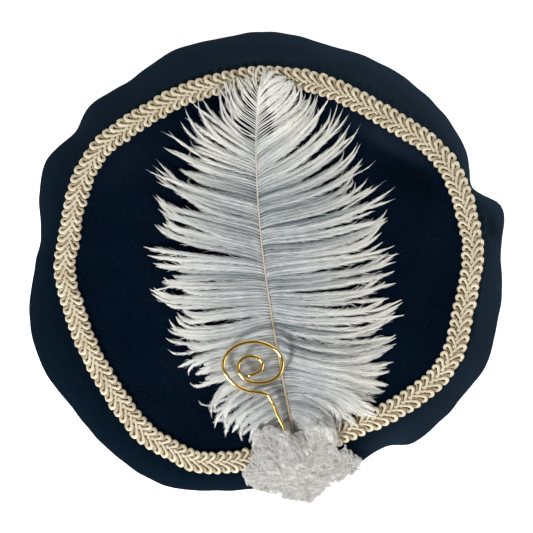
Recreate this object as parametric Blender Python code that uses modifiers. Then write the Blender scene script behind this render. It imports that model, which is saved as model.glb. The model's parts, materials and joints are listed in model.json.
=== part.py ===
"""A flat beret of navy cloth, trimmed with a ring of cream gimp braid, an ostrich feather, a
spiral pin of gold wire and a plush star. Metres, +Z up. It lies on the hem of its head opening,
the origin is on the floor under its middle, and the feather's tip points along +Y."""

import math

import bmesh
import bpy
from mathutils import Vector
from mathutils.bvhtree import BVHTree

# Driving sizes of the cloth crown.
BRAID_REACH = 0.117
BAND_WIDTH = 0.022
RIDGE_HEIGHT = 0.040
RIM_HEIGHT = 0.020
SLACK_DROOP = 0.5
CLOTH = 0.002
OPENING_REACH = 0.092
HEM_WIDTH = 0.012
HEM_FOLD = 0.0023
STATION_STEP = 8.0

# Driving sizes of the trim.
BRAID_WIDTH = 0.0135
BRAID_THICKNESS = 0.0030
BRAID_VALLEY = 0.0011
BRAID_SHOULDER = 0.0014
BRAID_HUMP_SHARE = 0.42
QUILL_BASE = 0.0012
QUILL_TIP = 0.0009
QUILL_LIFT = 0.0012
QUILL_TUCK = 0.012
QUILL_SAG_POWER = 2.5
QUILL_STEPS = 18
LOCK_REACH = 0.070
LOCK_THICKNESS = 0.0014
LOCK_CROWN = 0.0012
LOCK_ARCH = 0.0035
LOCK_CURL = 26.0
STEEPEST_LEAN = 85.0
WIRE = 0.0024
SPIRAL_REACH = 0.018
SPIRAL_SQUASH = 0.85
PIN_RISE = 0.006
PIN_TUCK = 0.007
STAR_REACH = 0.032
STAR_THICKNESS = 0.0035
STAR_CREST = 0.0025
GAP = 0.0003
LIFT_SAMPLES = 8
LIFT_ROUNDS = 6
DRAPE_SLOPE = 0.9
DRAPE_REACH = 0.010

# One row for each section of the crown, anticlockwise from +X: its angle in degrees, the
# braid's middle as a share of BRAID_REACH, and the cloth outside it as a share of BAND_WIDTH.
SECTIONS = (
    (0, 1.036, 0.80), (5, 1.044, 0.78), (12, 1.041, 0.99), (15, 1.039, 0.93),
    (18, 1.046, 0.55), (21, 1.043, 0.36), (25, 1.043, 0.48), (30, 1.040, 0.65),
    (36, 1.022, 0.81), (45, 0.981, 1.05), (54, 0.953, 1.19), (66, 0.947, 1.17),
    (74, 0.950, 1.10), (90, 0.948, 1.24), (102, 0.941, 1.22), (113, 0.950, 1.24),
    (127, 0.962, 1.06), (138, 0.996, 1.09), (145, 1.019, 0.84), (155, 1.021, 1.11),
    (163, 1.009, 1.00), (172, 0.998, 0.80), (180, 1.014, 0.80), (188, 1.000, 1.09),
    (195, 0.986, 1.30), (206, 0.986, 1.35), (215, 0.991, 1.20), (225, 1.009, 1.12),
    (234, 1.040, 0.99), (243, 1.041, 0.98), (250, 1.047, 0.83), (258, 1.012, 0.80),
    (268, 0.968, 0.84), (280, 0.944, 0.95), (292, 0.925, 0.98), (300, 0.927, 0.88),
    (304, 0.938, 0.85), (309, 0.958, 1.07), (318, 0.989, 1.01), (327, 1.027, 0.88),
    (335, 1.036, 0.96), (345, 1.019, 0.98), (353, 1.022, 0.94),
)

# Rings inside the braid: share of the way from the centre to the braid, share of RIDGE_HEIGHT.
TOP_RINGS = (
    (0.20, 0.950), (0.42, 0.940), (0.62, 0.935), (0.80, 0.940), (0.92, 0.960),
)
# The braid's inner edge, middle and outer edge: side of the middle, share of RIDGE_HEIGHT.
BRAID_RINGS = ((-0.5, 0.985), (0.0, 1.0), (0.5, 0.975))
# Rings outside the braid: share of the way to the rim, share of the fall still to come.
BAND_RINGS = ((0.30, 0.88), (0.62, 0.62), (0.87, 0.28), (1.0, 0.0))
# Rings under the rim: share of the way in to the hem, share of the rim's height.
UNDER_RINGS = ((0.02, 0.66), (0.12, 0.36), (0.38, 0.19), (0.72, 0.08))

# Soft folds of the crown's top: angle and spread in degrees, reach and breadth as shares of
# BRAID_REACH, and rise as a share of RIDGE_HEIGHT.
FOLDS = (
    (22, 13, 0.86, 0.07, -0.085),
    (30, 17, 0.70, 0.12, 0.035),
    (4, 4, 1.14, 0.07, -0.075),
    (12, 5, 1.16, 0.06, 0.050),
    (145, 5, 1.14, 0.08, -0.060),
    (172, 7, 1.12, 0.08, -0.060),
    (250, 8, 0.86, 0.08, -0.040),
    (304, 4, 1.12, 0.07, -0.070),
    (327, 7, 1.12, 0.07, -0.040),
    (75, 9, 1.12, 0.08, -0.035),
)

# The quill's route in plan, as the four poles of a cubic curve in shares of BRAID_REACH.
QUILL_POLES = ((0.140, -0.858), (0.021, -0.260), (-0.090, 0.335), (-0.038, 0.900))

# One row for each lock of barbs, from the tip down: its root as a share of the way up the
# quill, its length as a share of LOCK_REACH, and its lean towards the tip in degrees.
LEFT_LOCKS = (
    (0.985, 0.15, 78), (0.955, 0.25, 62), (0.920, 0.37, 46), (0.880, 0.53, 36),
    (0.840, 0.66, 25), (0.800, 0.77, 20), (0.760, 0.83, 17), (0.720, 0.94, 15),
    (0.675, 0.94, 15), (0.630, 0.90, 12), (0.585, 0.90, 11), (0.540, 0.96, 8),
    (0.495, 0.97, 6), (0.450, 0.93, 6), (0.405, 0.97, 6), (0.365, 0.88, 6),
    (0.325, 0.86, 5), (0.285, 0.86, 4), (0.245, 0.80, 0), (0.205, 0.75, -5),
    (0.165, 0.66, -10), (0.130, 0.62, -14), (0.095, 0.54, -19), (0.060, 0.42, -24),
)
RIGHT_LOCKS = (
    (0.985, 0.15, 74), (0.955, 0.32, 48), (0.910, 0.52, 29), (0.850, 0.75, 17),
    (0.800, 0.90, 11), (0.735, 0.99, 7), (0.675, 1.06, 4), (0.625, 1.11, 3),
    (0.580, 1.09, 1), (0.540, 1.06, -2), (0.500, 1.08, -5), (0.460, 1.06, -8),
    (0.415, 1.09, -11), (0.375, 1.10, -13), (0.330, 1.05, -15), (0.290, 1.03, -17),
    (0.250, 0.95, -21), (0.210, 0.90, -24), (0.175, 0.80, -27), (0.140, 0.69, -32),
    (0.110, 0.59, -39), (0.080, 0.50, -46),
)
LOCK_SHARED = (0.0, 0.30, 0.56)
LOCK_FREE = 0.79
FREE_WIDTH = 0.78

# The pin's spiral, inwards from its stem: angle in degrees, share of SPIRAL_REACH.
SPIRAL_TURNS = (
    (278, 0.96), (246, 0.86), (215, 0.84), (180, 0.90), (140, 0.94), (98, 0.96),
    (56, 1.02), (25, 1.06), (0, 1.02), (-25, 0.92), (-65, 0.66), (-100, 0.53),
    (-150, 0.43), (-210, 0.42), (-268, 0.42), (-330, 0.41), (-375, 0.34), (-420, 0.28),
    (-475, 0.32),
)
SPIRAL_STEP = 15.0
# Places in plan as shares of BRAID_REACH: the spiral's centre, and its stem from the bend to
# where it goes under the star.
SPIRAL_CENTRE = (-0.076, -0.510)
PIN_STEM = ((-0.005, -0.642), (0.019, -0.662), (0.060, -0.755), (0.100, -0.842), (0.116, -0.900))

STAR_CENTRE = (0.155, -0.993)
# One row for each point of the star: the angle and reach of its tip, then of the notch that
# follows it, in degrees and in shares of STAR_REACH.
STAR_POINTS = (
    (49, 0.93, 99, 0.49), (143, 1.00, 172, 0.77), (198, 1.00, 238, 0.60),
    (283, 0.72, 330, 0.70), (360, 1.19, 381, 0.77),
)
STAR_RINGS = (0.30, 0.55, 0.78, 1.0)

MATERIALS = {
    "crown": ("navy_cloth", (0.008, 0.013, 0.032), 0.95, 0.0),
    "braid": ("cream_braid", (0.72, 0.64, 0.46), 0.7, 0.0),
    "feather": ("white_feather", (0.86, 0.86, 0.85), 0.6, 0.0),
    "spiral_pin": ("gold_wire", (0.83, 0.60, 0.24), 0.2, 1.0),
    "star_patch": ("white_plush", (0.80, 0.79, 0.77), 0.9, 0.0),
}


def clear_scene():
    for thing in list(bpy.data.objects):
        bpy.data.objects.remove(thing, do_unlink=True)


def new_collection(name):
    group = bpy.data.collections.new(name)
    bpy.context.scene.collection.children.link(group)
    return group


def paint(thing):
    name, colour, roughness, metallic = MATERIALS[thing.name]
    material = bpy.data.materials.new(name)
    material.use_nodes = True
    shader = material.node_tree.nodes["Principled BSDF"]
    shader.inputs["Base Color"].default_value = (*colour, 1.0)
    shader.inputs["Roughness"].default_value = roughness
    shader.inputs["Metallic"].default_value = metallic
    thing.data.materials.append(material)


def smooth(thing):
    thing.data.shade_smooth()
    thing.data.set_sharp_from_angle(angle=math.radians(50))


def mesh_object(name, points, faces, group):
    mesh = bpy.data.meshes.new(name)
    mesh.from_pydata([tuple(p) for p in points], [], faces)
    mesh.update()
    thing = bpy.data.objects.new(name, mesh)
    group.objects.link(thing)
    return thing


def smooth_between(rows, place, column, period=None):
    """A column of a table of rows, read at a place between them on a smooth curve."""
    keys = [row[0] for row in rows]
    values = [row[column] for row in rows]
    if period:
        place %= period
        keys = [keys[-2] - period, keys[-1] - period] + keys + [keys[0] + period, keys[1] + period]
        values = values[-2:] + values + values[:2]
    for i in range(len(keys) - 1):
        low, high = keys[i], keys[i + 1]
        if (low <= place <= high) or (high <= place <= low):
            break
    before = i - 1 if i else i
    after = i + 2 if i + 2 < len(keys) else i + 1
    span = high - low
    slope_low = (values[i + 1] - values[before]) / (keys[i + 1] - keys[before]) * span
    slope_high = (values[after] - values[i]) / (keys[after] - keys[i]) * span
    t = (place - low) / span
    return (
        values[i] * (1 + 2 * t) * (1 - t) ** 2 + slope_low * t * (1 - t) ** 2
        + values[i + 1] * t * t * (3 - 2 * t) - slope_high * t * t * (1 - t)
    )


def stations():
    """The angles at which the crown and the braid have a section, in degrees."""
    angles = []
    for row, following in zip(SECTIONS, SECTIONS[1:] + (SECTIONS[0],)):
        span = (following[0] - row[0]) % 360
        pieces = math.ceil(span / STATION_STEP)
        angles += [row[0] + span * piece / pieces for piece in range(pieces)]
    return angles


def fold_rise(angle, reach):
    """How far the soft folds lift the crown's top at an angle and a distance from its middle."""
    total = 0.0
    for at, spread, far, breadth, rise in FOLDS:
        turn = (angle - at + 180) % 360 - 180
        out = reach / BRAID_REACH - far
        total += rise * math.exp(-((turn / spread) ** 2) - (out / breadth) ** 2)
    return total * RIDGE_HEIGHT


def crown_section(angle):
    """The outer face of the cloth along one radius, as (reach, height) from the first ring out
    to the rim, back in under it, and round the folded hem."""
    middle = BRAID_REACH * smooth_between(SECTIONS, angle, 1, 360)
    band = smooth_between(SECTIONS, angle, 2, 360)
    rim = middle + BAND_WIDTH * band
    rim_height = RIM_HEIGHT * (1 + SLACK_DROOP * (1 - band))
    edges = [middle + side * BRAID_WIDTH for side, _ in BRAID_RINGS]
    heights = [RIDGE_HEIGHT * share for _, share in BRAID_RINGS]
    hem = OPENING_REACH + HEM_WIDTH
    top = [(share * edges[0], height * RIDGE_HEIGHT) for share, height in TOP_RINGS]
    top += list(zip(edges, heights))
    top += [
        (edges[2] + share * (rim - edges[2]), rim_height + fall * (heights[2] - rim_height))
        for share, fall in BAND_RINGS
    ]
    top = [(reach, height + fold_rise(angle, reach)) for reach, height in top]
    under = [(rim + share * (hem - rim), height * rim_height) for share, height in UNDER_RINGS]
    turned = [
        (hem, 0.0), (OPENING_REACH + HEM_FOLD, 0.0), (OPENING_REACH, HEM_FOLD),
        (OPENING_REACH + HEM_FOLD, 2 * HEM_FOLD), (hem - HEM_FOLD, 2 * HEM_FOLD),
    ]
    return top + under + turned


def in_space(angle, reach, height):
    turn = math.radians(angle)
    return Vector((reach * math.cos(turn), reach * math.sin(turn), height))


def ring_faces(first, second, count):
    """Faces between two closed rings of points, given the index of each ring's first point."""
    return [
        (first + i, second + i, second + (i + 1) % count, first + (i + 1) % count)
        for i in range(count)
    ]


def make_crown(group):
    angles = stations()
    sections = [crown_section(angle) for angle in angles]
    points = [Vector((0, 0, TOP_RINGS[0][1] * RIDGE_HEIGHT))]
    for ring in range(len(sections[0])):
        points += [in_space(a, *section[ring]) for a, section in zip(angles, sections)]
    count = len(angles)
    faces = [(0, 1 + i, 1 + (i + 1) % count) for i in range(count)]
    for ring in range(len(sections[0]) - 1):
        faces += ring_faces(1 + ring * count, 1 + (ring + 1) * count, count)
    crown = mesh_object("crown", points, faces, group)
    wall = crown.modifiers.new("cloth", "SOLIDIFY")
    wall.thickness = CLOTH
    wall.offset = -1
    return crown


def braid_section(angle):
    """One cut across the braid: three points along its foot, then five back over its two rows."""
    first = len(TOP_RINGS)
    inner, middle, outer = [
        in_space(angle, *point) for point in crown_section(angle)[first:first + len(BRAID_RINGS)]
    ]
    across = (outer - inner).normalized()
    up = (Vector((0, 0, 1)) - across * across.z).normalized()
    foot = [point + up * GAP for point in (inner, middle, outer)]
    over = [
        outer + up * BRAID_SHOULDER,
        outer.lerp(middle, BRAID_HUMP_SHARE) + up * BRAID_THICKNESS,
        middle + up * (BRAID_THICKNESS - BRAID_VALLEY),
        inner.lerp(middle, BRAID_HUMP_SHARE) + up * BRAID_THICKNESS,
        inner + up * BRAID_SHOULDER,
    ]
    return foot + [point + up * GAP for point in over]


def make_braid(group):
    sections = [braid_section(angle) for angle in stations()]
    sides = len(sections[0])
    points = [point for section in sections for point in section]
    faces = []
    for i in range(len(sections)):
        here, there = i * sides, (i + 1) % len(sections) * sides
        faces += ring_faces(here, there, sides)
    return mesh_object("braid", points, faces, group)


def tree_of(thing):
    return BVHTree.FromObject(thing, bpy.context.evaluated_depsgraph_get())


def height_under(trees, x, y):
    """The highest of the given surfaces at a place in plan, or the floor."""
    hits = [tree.ray_cast(Vector((x, y, 1.0)), Vector((0, 0, -1)))[0] for tree in trees]
    return max([hit.z for hit in hits if hit] + [0.0])


def draped_height(trees, x, y):
    """The height of a taut cloth over the surfaces, which falls no steeper than DRAPE_SLOPE."""
    best = height_under(trees, x, y)
    for part in (0.25, 0.5, 0.75, 1.0):
        for angle in range(0, 360, 30):
            off = in_space(angle, part * DRAPE_REACH, 0)
            far = height_under(trees, x + off.x, y + off.y) - part * DRAPE_REACH * DRAPE_SLOPE
            best = max(best, far)
    return best


def in_triangles(faces):
    return [(face[0], face[k], face[k + 1]) for face in faces for k in range(1, len(face) - 1)]


def lift_clear(points, triangles, trees, room):
    """Raises points of a sheet, in place, until each triangle passes over the surfaces by room."""
    cuts = LIFT_SAMPLES
    weights = [
        (i / cuts, j / cuts, 1 - (i + j) / cuts)
        for i in range(cuts + 1)
        for j in range(cuts + 1 - i)
    ]
    for _ in range(LIFT_ROUNDS):
        for corners in triangles:
            for shares in weights:
                spot = sum((points[c] * w for c, w in zip(corners, shares)), Vector())
                short = height_under(trees, spot.x, spot.y) + room - spot.z
                if short > 0:
                    whole = sum(share * share for share in shares)
                    for corner, share in zip(corners, shares):
                        points[corner].z += short * share / whole


def quill_plan(share):
    """The quill's route in plan at a share of the way up it, and its direction there."""
    poles = [Vector(pole) * BRAID_REACH for pole in QUILL_POLES]
    rest = 1 - share
    place = (
        poles[0] * rest ** 3 + poles[1] * 3 * rest * rest * share
        + poles[2] * 3 * rest * share * share + poles[3] * share ** 3
    )
    heading = (
        (poles[1] - poles[0]) * rest * rest + (poles[2] - poles[1]) * 2 * rest * share
        + (poles[3] - poles[2]) * share * share
    )
    return place, heading.normalized()


def quill_height(trees, share):
    """The quill lies over the braid at both ends and dips towards the cloth between them."""
    low, high = quill_plan(0.0)[0], quill_plan(1.0)[0]
    on_braid = RIDGE_HEIGHT + BRAID_THICKNESS + 2 * GAP + QUILL_BASE
    middle = low.lerp(high, 0.5)
    on_cloth = height_under(trees, middle.x, middle.y) + GAP + QUILL_BASE + QUILL_LIFT
    return on_cloth + (on_braid - on_cloth) * abs(2 * share - 1) ** QUILL_SAG_POWER


def quill_route(trees):
    """Points along the quill from its hidden end to its tip, each with its radius."""
    base, heading = quill_plan(0.0)
    hidden = base - heading * QUILL_TUCK
    route = [(Vector((hidden.x, hidden.y, quill_height(trees, 0.0))), QUILL_BASE)]
    for step in range(QUILL_STEPS + 1):
        share = step / QUILL_STEPS
        place = quill_plan(share)[0]
        radius = QUILL_BASE + (QUILL_TIP - QUILL_BASE) * share
        route.append((Vector((place.x, place.y, quill_height(trees, share))), radius))
    return route


def tube(name, route, group, sides_each_quarter):
    """A round wire along a route of (point, radius), as a closed mesh."""
    curve = bpy.data.curves.new(name, "CURVE")
    curve.dimensions = "3D"
    curve.bevel_depth = 1.0
    curve.bevel_resolution = sides_each_quarter
    curve.use_fill_caps = True
    line = curve.splines.new("POLY")
    line.points.add(len(route) - 1)
    for knot, (place, radius) in zip(line.points, route):
        knot.co = (*place, 1)
        knot.radius = radius
    guide = bpy.data.objects.new(name + "_route", curve)
    group.objects.link(guide)
    graph = bpy.context.evaluated_depsgraph_get()
    mesh = bpy.data.meshes.new_from_object(guide.evaluated_get(graph))
    bpy.data.objects.remove(guide)
    welded = bmesh.new()
    welded.from_mesh(mesh)
    bmesh.ops.remove_doubles(welded, verts=welded.verts, dist=1e-6)
    welded.to_mesh(mesh)
    welded.free()
    mesh.name = name
    thing = bpy.data.objects.new(name, mesh)
    group.objects.link(thing)
    return thing


def lock_point(row, side, share):
    """A place in plan along the middle of one lock. side is 1 on the right and -1 on the left."""
    along, length, lean = row
    root, heading = quill_plan(along)
    outward = Vector((heading.y, -heading.x)) * side

    def towards(angle):
        turn = math.radians(angle)
        return outward * math.cos(turn) + heading * math.sin(turn)

    tip = root + towards(lean) * length * LOCK_REACH
    bend = root + towards(min(lean + LOCK_CURL, STEEPEST_LEAN)) * length * LOCK_REACH / 2
    return root * (1 - share) ** 2 + bend * 2 * share * (1 - share) + tip * share * share


def lock_edge(rows, side, index, share):
    """A place in plan between lock index - 1 and lock index, or past the first or last lock."""
    if 0 < index < len(rows):
        first, second = lock_point(rows[index - 1], side, share), lock_point(rows[index], side, share)
        return (first + second) / 2
    nearest, inner = (0, 1) if index == 0 else (-1, -2)
    here = lock_point(rows[nearest], side, share)
    return here + (here - lock_point(rows[inner], side, share)) / 2


def make_vane(name, rows, side, trees, group):
    """One side of the feather: a sheet that is whole near the quill and parts into locks."""
    points, faces = [], []

    def add(plan, row, share, crown):
        root = quill_height(trees, row[0])
        tip = lock_point(row, side, 1.0)
        rest = height_under(trees, tip.x, tip.y) + GAP + LOCK_THICKNESS
        height = root + (rest - root) * share ** 2 + LOCK_ARCH * math.sin(math.pi * share)
        points.append(Vector((plan.x, plan.y, height + crown)))
        return len(points) - 1

    edges = [
        [
            add(lock_edge(rows, side, i, share), rows[min(i, len(rows) - 1)], share, 0)
            for share in LOCK_SHARED
        ]
        for i in range(len(rows) + 1)
    ]
    for i, row in enumerate(rows):
        spine = [
            add(lock_point(row, side, share), row, share, LOCK_CROWN * (share > 0))
            for share in (*LOCK_SHARED, LOCK_FREE, 1.0)
        ]
        strips = []
        for edge in (i, i + 1):
            middle = lock_point(row, side, LOCK_FREE)
            beside = middle.lerp(lock_edge(rows, side, edge, LOCK_FREE), FREE_WIDTH)
            strips.append(edges[edge] + [add(beside, row, LOCK_FREE, 0)])
        for strip, order in zip(strips, (1, -1)):
            for k in range(len(strip) - 1):
                faces.append((strip[k], strip[k + 1], spine[k + 1], spine[k])[::order])
            faces.append((strip[-1], spine[-1], spine[-2])[::order])
    if side > 0:
        faces = [face[::-1] for face in faces]
    faces = in_triangles(faces)
    lift_clear(points, faces, trees, GAP + LOCK_THICKNESS)
    vane = mesh_object(name, points, faces, group)
    wall = vane.modifiers.new("barbs", "SOLIDIFY")
    wall.thickness = LOCK_THICKNESS
    wall.offset = 0
    vane.hide_render = True
    vane.display_type = "WIRE"
    return vane


def make_feather(trees, group, helpers):
    feather = tube("feather", quill_route(trees), group, 2)
    for name, rows, side in (("left_vane", LEFT_LOCKS, -1), ("right_vane", RIGHT_LOCKS, 1)):
        join = feather.modifiers.new(name, "BOOLEAN")
        join.operation = "UNION"
        join.object = make_vane(name, rows, side, trees, helpers)
    return feather


def pin_plan():
    """The pin's wire in plan, from its hidden end up the stem and round the spiral."""
    heading = quill_plan(0.0)[1]
    stem = [Vector(place) * BRAID_REACH for place in PIN_STEM]
    hidden = stem[-1] - heading * PIN_TUCK
    centre = Vector(SPIRAL_CENTRE) * BRAID_REACH
    route = [hidden] + stem[::-1]
    angle, last = SPIRAL_TURNS[0][0], SPIRAL_TURNS[-1][0]
    while angle >= last:
        reach = SPIRAL_REACH * smooth_between(SPIRAL_TURNS, angle, 1)
        turn = math.radians(angle)
        out = Vector((math.cos(turn), math.sin(turn) * SPIRAL_SQUASH))
        route.append(centre + out * reach)
        angle -= SPIRAL_STEP
    return route


def make_pin(trees, group):
    """The wire slopes up from the star, just high enough to clear all that lies under it."""
    route = pin_plan()
    low = route[1].y
    length = max(place.y for place in route) - low
    rises = [PIN_RISE * max(0.0, (place.y - low) / length) for place in route]
    clear = GAP + WIRE / 2
    around = [Vector((x, y)) * WIRE / 2 for x in (-1, 0, 1) for y in (-1, 0, 1)]
    base = max(
        height_under(trees, *(place + step)) + clear - rise
        for place, rise in zip(route, rises)
        for step in around
    )
    points = [(Vector((p.x, p.y, base + rise)), WIRE / 2) for p, rise in zip(route, rises)]
    return tube("spiral_pin", points, group, 2)


def star_outline(share):
    """Points round the star, drawn in to a share of its reach. Its points get rounder inwards."""
    centre = Vector(STAR_CENTRE) * BRAID_REACH
    mean = sum(row[1] + row[3] for row in STAR_POINTS) / (2 * len(STAR_POINTS))
    corners = []
    for tip_angle, tip, notch_angle, notch in STAR_POINTS:
        corners += [(tip_angle, tip), (notch_angle, notch)]
    corners.append((corners[0][0] + 360, corners[0][1]))
    outline = []
    for (angle, reach), (next_angle, next_reach) in zip(corners, corners[1:]):
        for part in (0, 1 / 3, 2 / 3):
            far = reach + (next_reach - reach) * part
            turn = math.radians(angle + (next_angle - angle) * part)
            far = STAR_REACH * share * (mean + (far - mean) * share)
            outline.append(centre + Vector((math.cos(turn), math.sin(turn))) * far)
    return outline


def make_star(trees, group):
    centre = Vector(STAR_CENTRE) * BRAID_REACH
    rings = [star_outline(share) for share in STAR_RINGS]
    count = len(rings[0])
    plan = [centre] + [place for ring in rings for place in ring]
    crest = [STAR_CREST] + [
        STAR_CREST * (1 - share ** 2) for share in STAR_RINGS for _ in range(count)
    ]
    faces = [(0, 1 + i, 1 + (i + 1) % count) for i in range(count)]
    for ring in range(len(rings) - 1):
        faces += ring_faces(1 + ring * count, 1 + (ring + 1) * count, count)
    points = [
        Vector((p.x, p.y, max(draped_height(trees, p.x, p.y), RIM_HEIGHT) + GAP + rise))
        for p, rise in zip(plan, crest)
    ]
    faces = in_triangles(faces)
    lift_clear(points, faces, trees, GAP)
    star = mesh_object("star_patch", points, faces, group)
    wall = star.modifiers.new("plush", "SOLIDIFY")
    wall.thickness = STAR_THICKNESS
    wall.offset = 1
    return star


def main():
    clear_scene()
    group = new_collection("feathered_beret")
    helpers = new_collection("helpers")
    crown = make_crown(group)
    braid = make_braid(group)
    under = [tree_of(crown), tree_of(braid)]
    feather = make_feather(under, group, helpers)
    under.append(tree_of(feather))
    pin = make_pin(under, group)
    under.append(tree_of(pin))
    star = make_star(under, group)
    for thing in (crown, braid, feather, pin, star):
        paint(thing)
        smooth(thing)


main()
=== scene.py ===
"""The looks of a flat navy beret with gimp braid, a feather, a wire pin and a plush star.

Metres, +Z up, +Y towards the feather's tip. The pieces follow the same named sizes and tables
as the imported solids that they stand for, and all ride on the one body."""

import json
import math

import bpy
import numpy as np
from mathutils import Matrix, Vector
from mathutils.bvhtree import BVHTree

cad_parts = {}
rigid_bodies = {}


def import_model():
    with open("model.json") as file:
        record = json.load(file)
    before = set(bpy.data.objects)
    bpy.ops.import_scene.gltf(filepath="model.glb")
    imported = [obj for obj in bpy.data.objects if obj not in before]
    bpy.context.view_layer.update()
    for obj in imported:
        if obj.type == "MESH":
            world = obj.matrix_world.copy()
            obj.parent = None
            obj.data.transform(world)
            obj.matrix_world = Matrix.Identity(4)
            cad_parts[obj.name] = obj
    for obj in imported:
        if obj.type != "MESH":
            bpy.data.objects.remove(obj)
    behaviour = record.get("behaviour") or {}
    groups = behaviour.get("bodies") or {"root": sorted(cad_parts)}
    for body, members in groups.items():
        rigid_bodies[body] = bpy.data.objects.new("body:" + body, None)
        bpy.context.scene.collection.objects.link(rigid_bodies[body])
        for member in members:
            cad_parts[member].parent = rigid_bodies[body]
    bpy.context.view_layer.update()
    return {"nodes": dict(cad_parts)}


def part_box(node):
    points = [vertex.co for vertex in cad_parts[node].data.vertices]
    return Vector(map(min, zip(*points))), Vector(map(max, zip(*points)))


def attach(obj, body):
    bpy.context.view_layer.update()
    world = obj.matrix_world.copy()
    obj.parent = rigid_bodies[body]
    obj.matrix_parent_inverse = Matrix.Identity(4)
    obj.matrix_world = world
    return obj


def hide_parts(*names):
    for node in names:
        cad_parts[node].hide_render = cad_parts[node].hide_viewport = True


# Sizes of the cloth crown.
BRAID_REACH = 0.117
BAND_WIDTH = 0.022
RIDGE_HEIGHT = 0.040
RIM_HEIGHT = 0.020
SLACK_DROOP = 0.5
CLOTH = 0.002
OPENING_REACH = 0.092
HEM_WIDTH = 0.012
HEM_FOLD = 0.0023
CROWN_STATIONS = 300

# Sizes of the trim.
BRAID_WIDTH = 0.0135
BRAID_THICKNESS = 0.0030
CORD = 0.00180
CORD_LAY = 0.0031
CORD_TWIST = 0.11
CORD_SIDES = 8
LOOPS_ABOVE = 0.0008
QUILL_BASE = 0.0012
QUILL_SHOWN = (0.00068, 0.00034)
QUILL_LIFT = 0.0012
QUILL_SAG_POWER = 2.5
QUILL_TUCK = 0.012
QUILL_STATIONS = 90
LOCK_ARCH = 0.0035
WIRE = 0.0024
SPIRAL_REACH = 0.018
SPIRAL_SQUASH = 0.85
PIN_RISE = 0.006
PIN_TUCK = 0.007
STAR_REACH = 0.032
STAR_THICKNESS = 0.0035
GAP = 0.0003

# The loops of cord. The bend of a loop's axis is in degrees, its neck is where it opens, as a share
# of its length, and its rest is how high its cord lies, in cords. The spreads are random.
LOOP_PITCH = 0.0051
LOOP_POINTS = 34
LOOP_HOLE = 0.00062
LOOP_INSET = 1.08 * CORD
LOOP_ROOT = 0.0006
LOOP_NECK = 0.70
LOOP_BEND = 50.0
LOOP_TILT = 0.00078
LOOP_ARCH = 0.00030
LOOP_REST = (0.80, 0.50)
LOOP_SPREADS = {"place": 0.00012, "size": 0.025, "lean": 0.035, "height": 0.00006}
# One row for each row of loops: its piece, its side, its shift in loops, its lean in degrees, how
# far its roots pass the braid's middle, and how far they rise there.
LOOP_ROWS = (
    ("braid_outer_loops", 1, 0.0, 33.0, 0.0002, 0.0),
    ("braid_inner_loops", -1, 0.5, 36.0, 0.0, -0.0008),
)
SPINE_HALF = 0.0026
# The braid's flat core: distances aside of its middle and the rise of its top there.
CORE_SECTION = (
    (-0.0056, 0.0001), (-0.0025, 0.0007), (0.0, 0.0005), (0.0025, 0.0007), (0.0056, 0.0001),
)
CORE_STATIONS = 600

# One row for each section of the crown: angle in degrees, the braid's middle as a share of
# BRAID_REACH, and the cloth outside it as a share of BAND_WIDTH.
SECTIONS = (
    (0, 1.036, 0.80), (5, 1.044, 0.78), (12, 1.041, 0.99), (15, 1.039, 0.93),
    (18, 1.046, 0.55), (21, 1.043, 0.36), (25, 1.043, 0.48), (30, 1.040, 0.65),
    (36, 1.022, 0.81), (45, 0.981, 1.05), (54, 0.953, 1.19), (66, 0.947, 1.17),
    (74, 0.950, 1.10), (90, 0.948, 1.24), (102, 0.941, 1.22), (113, 0.950, 1.24),
    (127, 0.962, 1.06), (138, 0.996, 1.09), (145, 1.019, 0.84), (155, 1.021, 1.11),
    (163, 1.009, 1.00), (172, 0.998, 0.80), (180, 1.014, 0.80), (188, 1.000, 1.09),
    (195, 0.986, 1.30), (206, 0.986, 1.35), (215, 0.991, 1.20), (225, 1.009, 1.12),
    (234, 1.040, 0.99), (243, 1.041, 0.98), (250, 1.047, 0.83), (258, 1.012, 0.80),
    (268, 0.968, 0.84), (280, 0.944, 0.95), (292, 0.925, 0.98), (300, 0.927, 0.88),
    (304, 0.938, 0.85), (309, 0.958, 1.07), (318, 0.989, 1.01), (327, 1.027, 0.88),
    (335, 1.036, 0.96), (345, 1.019, 0.98), (353, 1.022, 0.94),
)
TOP_RINGS = (
    (0.20, 0.950), (0.42, 0.940), (0.62, 0.935), (0.80, 0.940), (0.92, 0.960),
)
BRAID_RINGS = ((-0.5, 0.985), (0.0, 1.0), (0.5, 0.975))
BAND_RINGS = ((0.30, 0.88), (0.62, 0.62), (0.87, 0.28), (1.0, 0.0))
UNDER_RINGS = ((0.02, 0.66), (0.12, 0.36), (0.38, 0.19), (0.72, 0.08))

# Soft folds: angle and spread in degrees, reach and breadth as shares of BRAID_REACH, and rise
# as a share of RIDGE_HEIGHT. The second table holds the finer ones.
FOLDS = (
    (22, 13, 0.86, 0.07, -0.085),
    (30, 17, 0.70, 0.12, 0.035),
    (4, 4, 1.14, 0.07, -0.075),
    (12, 5, 1.16, 0.06, 0.050),
    (145, 5, 1.14, 0.08, -0.060),
    (172, 7, 1.12, 0.08, -0.060),
    (250, 8, 0.86, 0.08, -0.040),
    (304, 4, 1.12, 0.07, -0.070),
    (327, 7, 1.12, 0.07, -0.040),
    (75, 9, 1.12, 0.08, -0.035),
)
FINE_FOLDS = (
    (33, 20, 0.93, 0.03, -0.030),
    (8, 2, 1.17, 0.05, 0.030),
    (0, 2, 1.15, 0.05, -0.030),
    (163, 3, 1.15, 0.05, 0.030),
    (138, 3, 1.15, 0.05, 0.025),
    (312, 3, 1.14, 0.05, 0.035),
    (335, 3, 1.16, 0.05, 0.030),
    (352, 3, 1.15, 0.05, 0.025),
)

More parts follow.
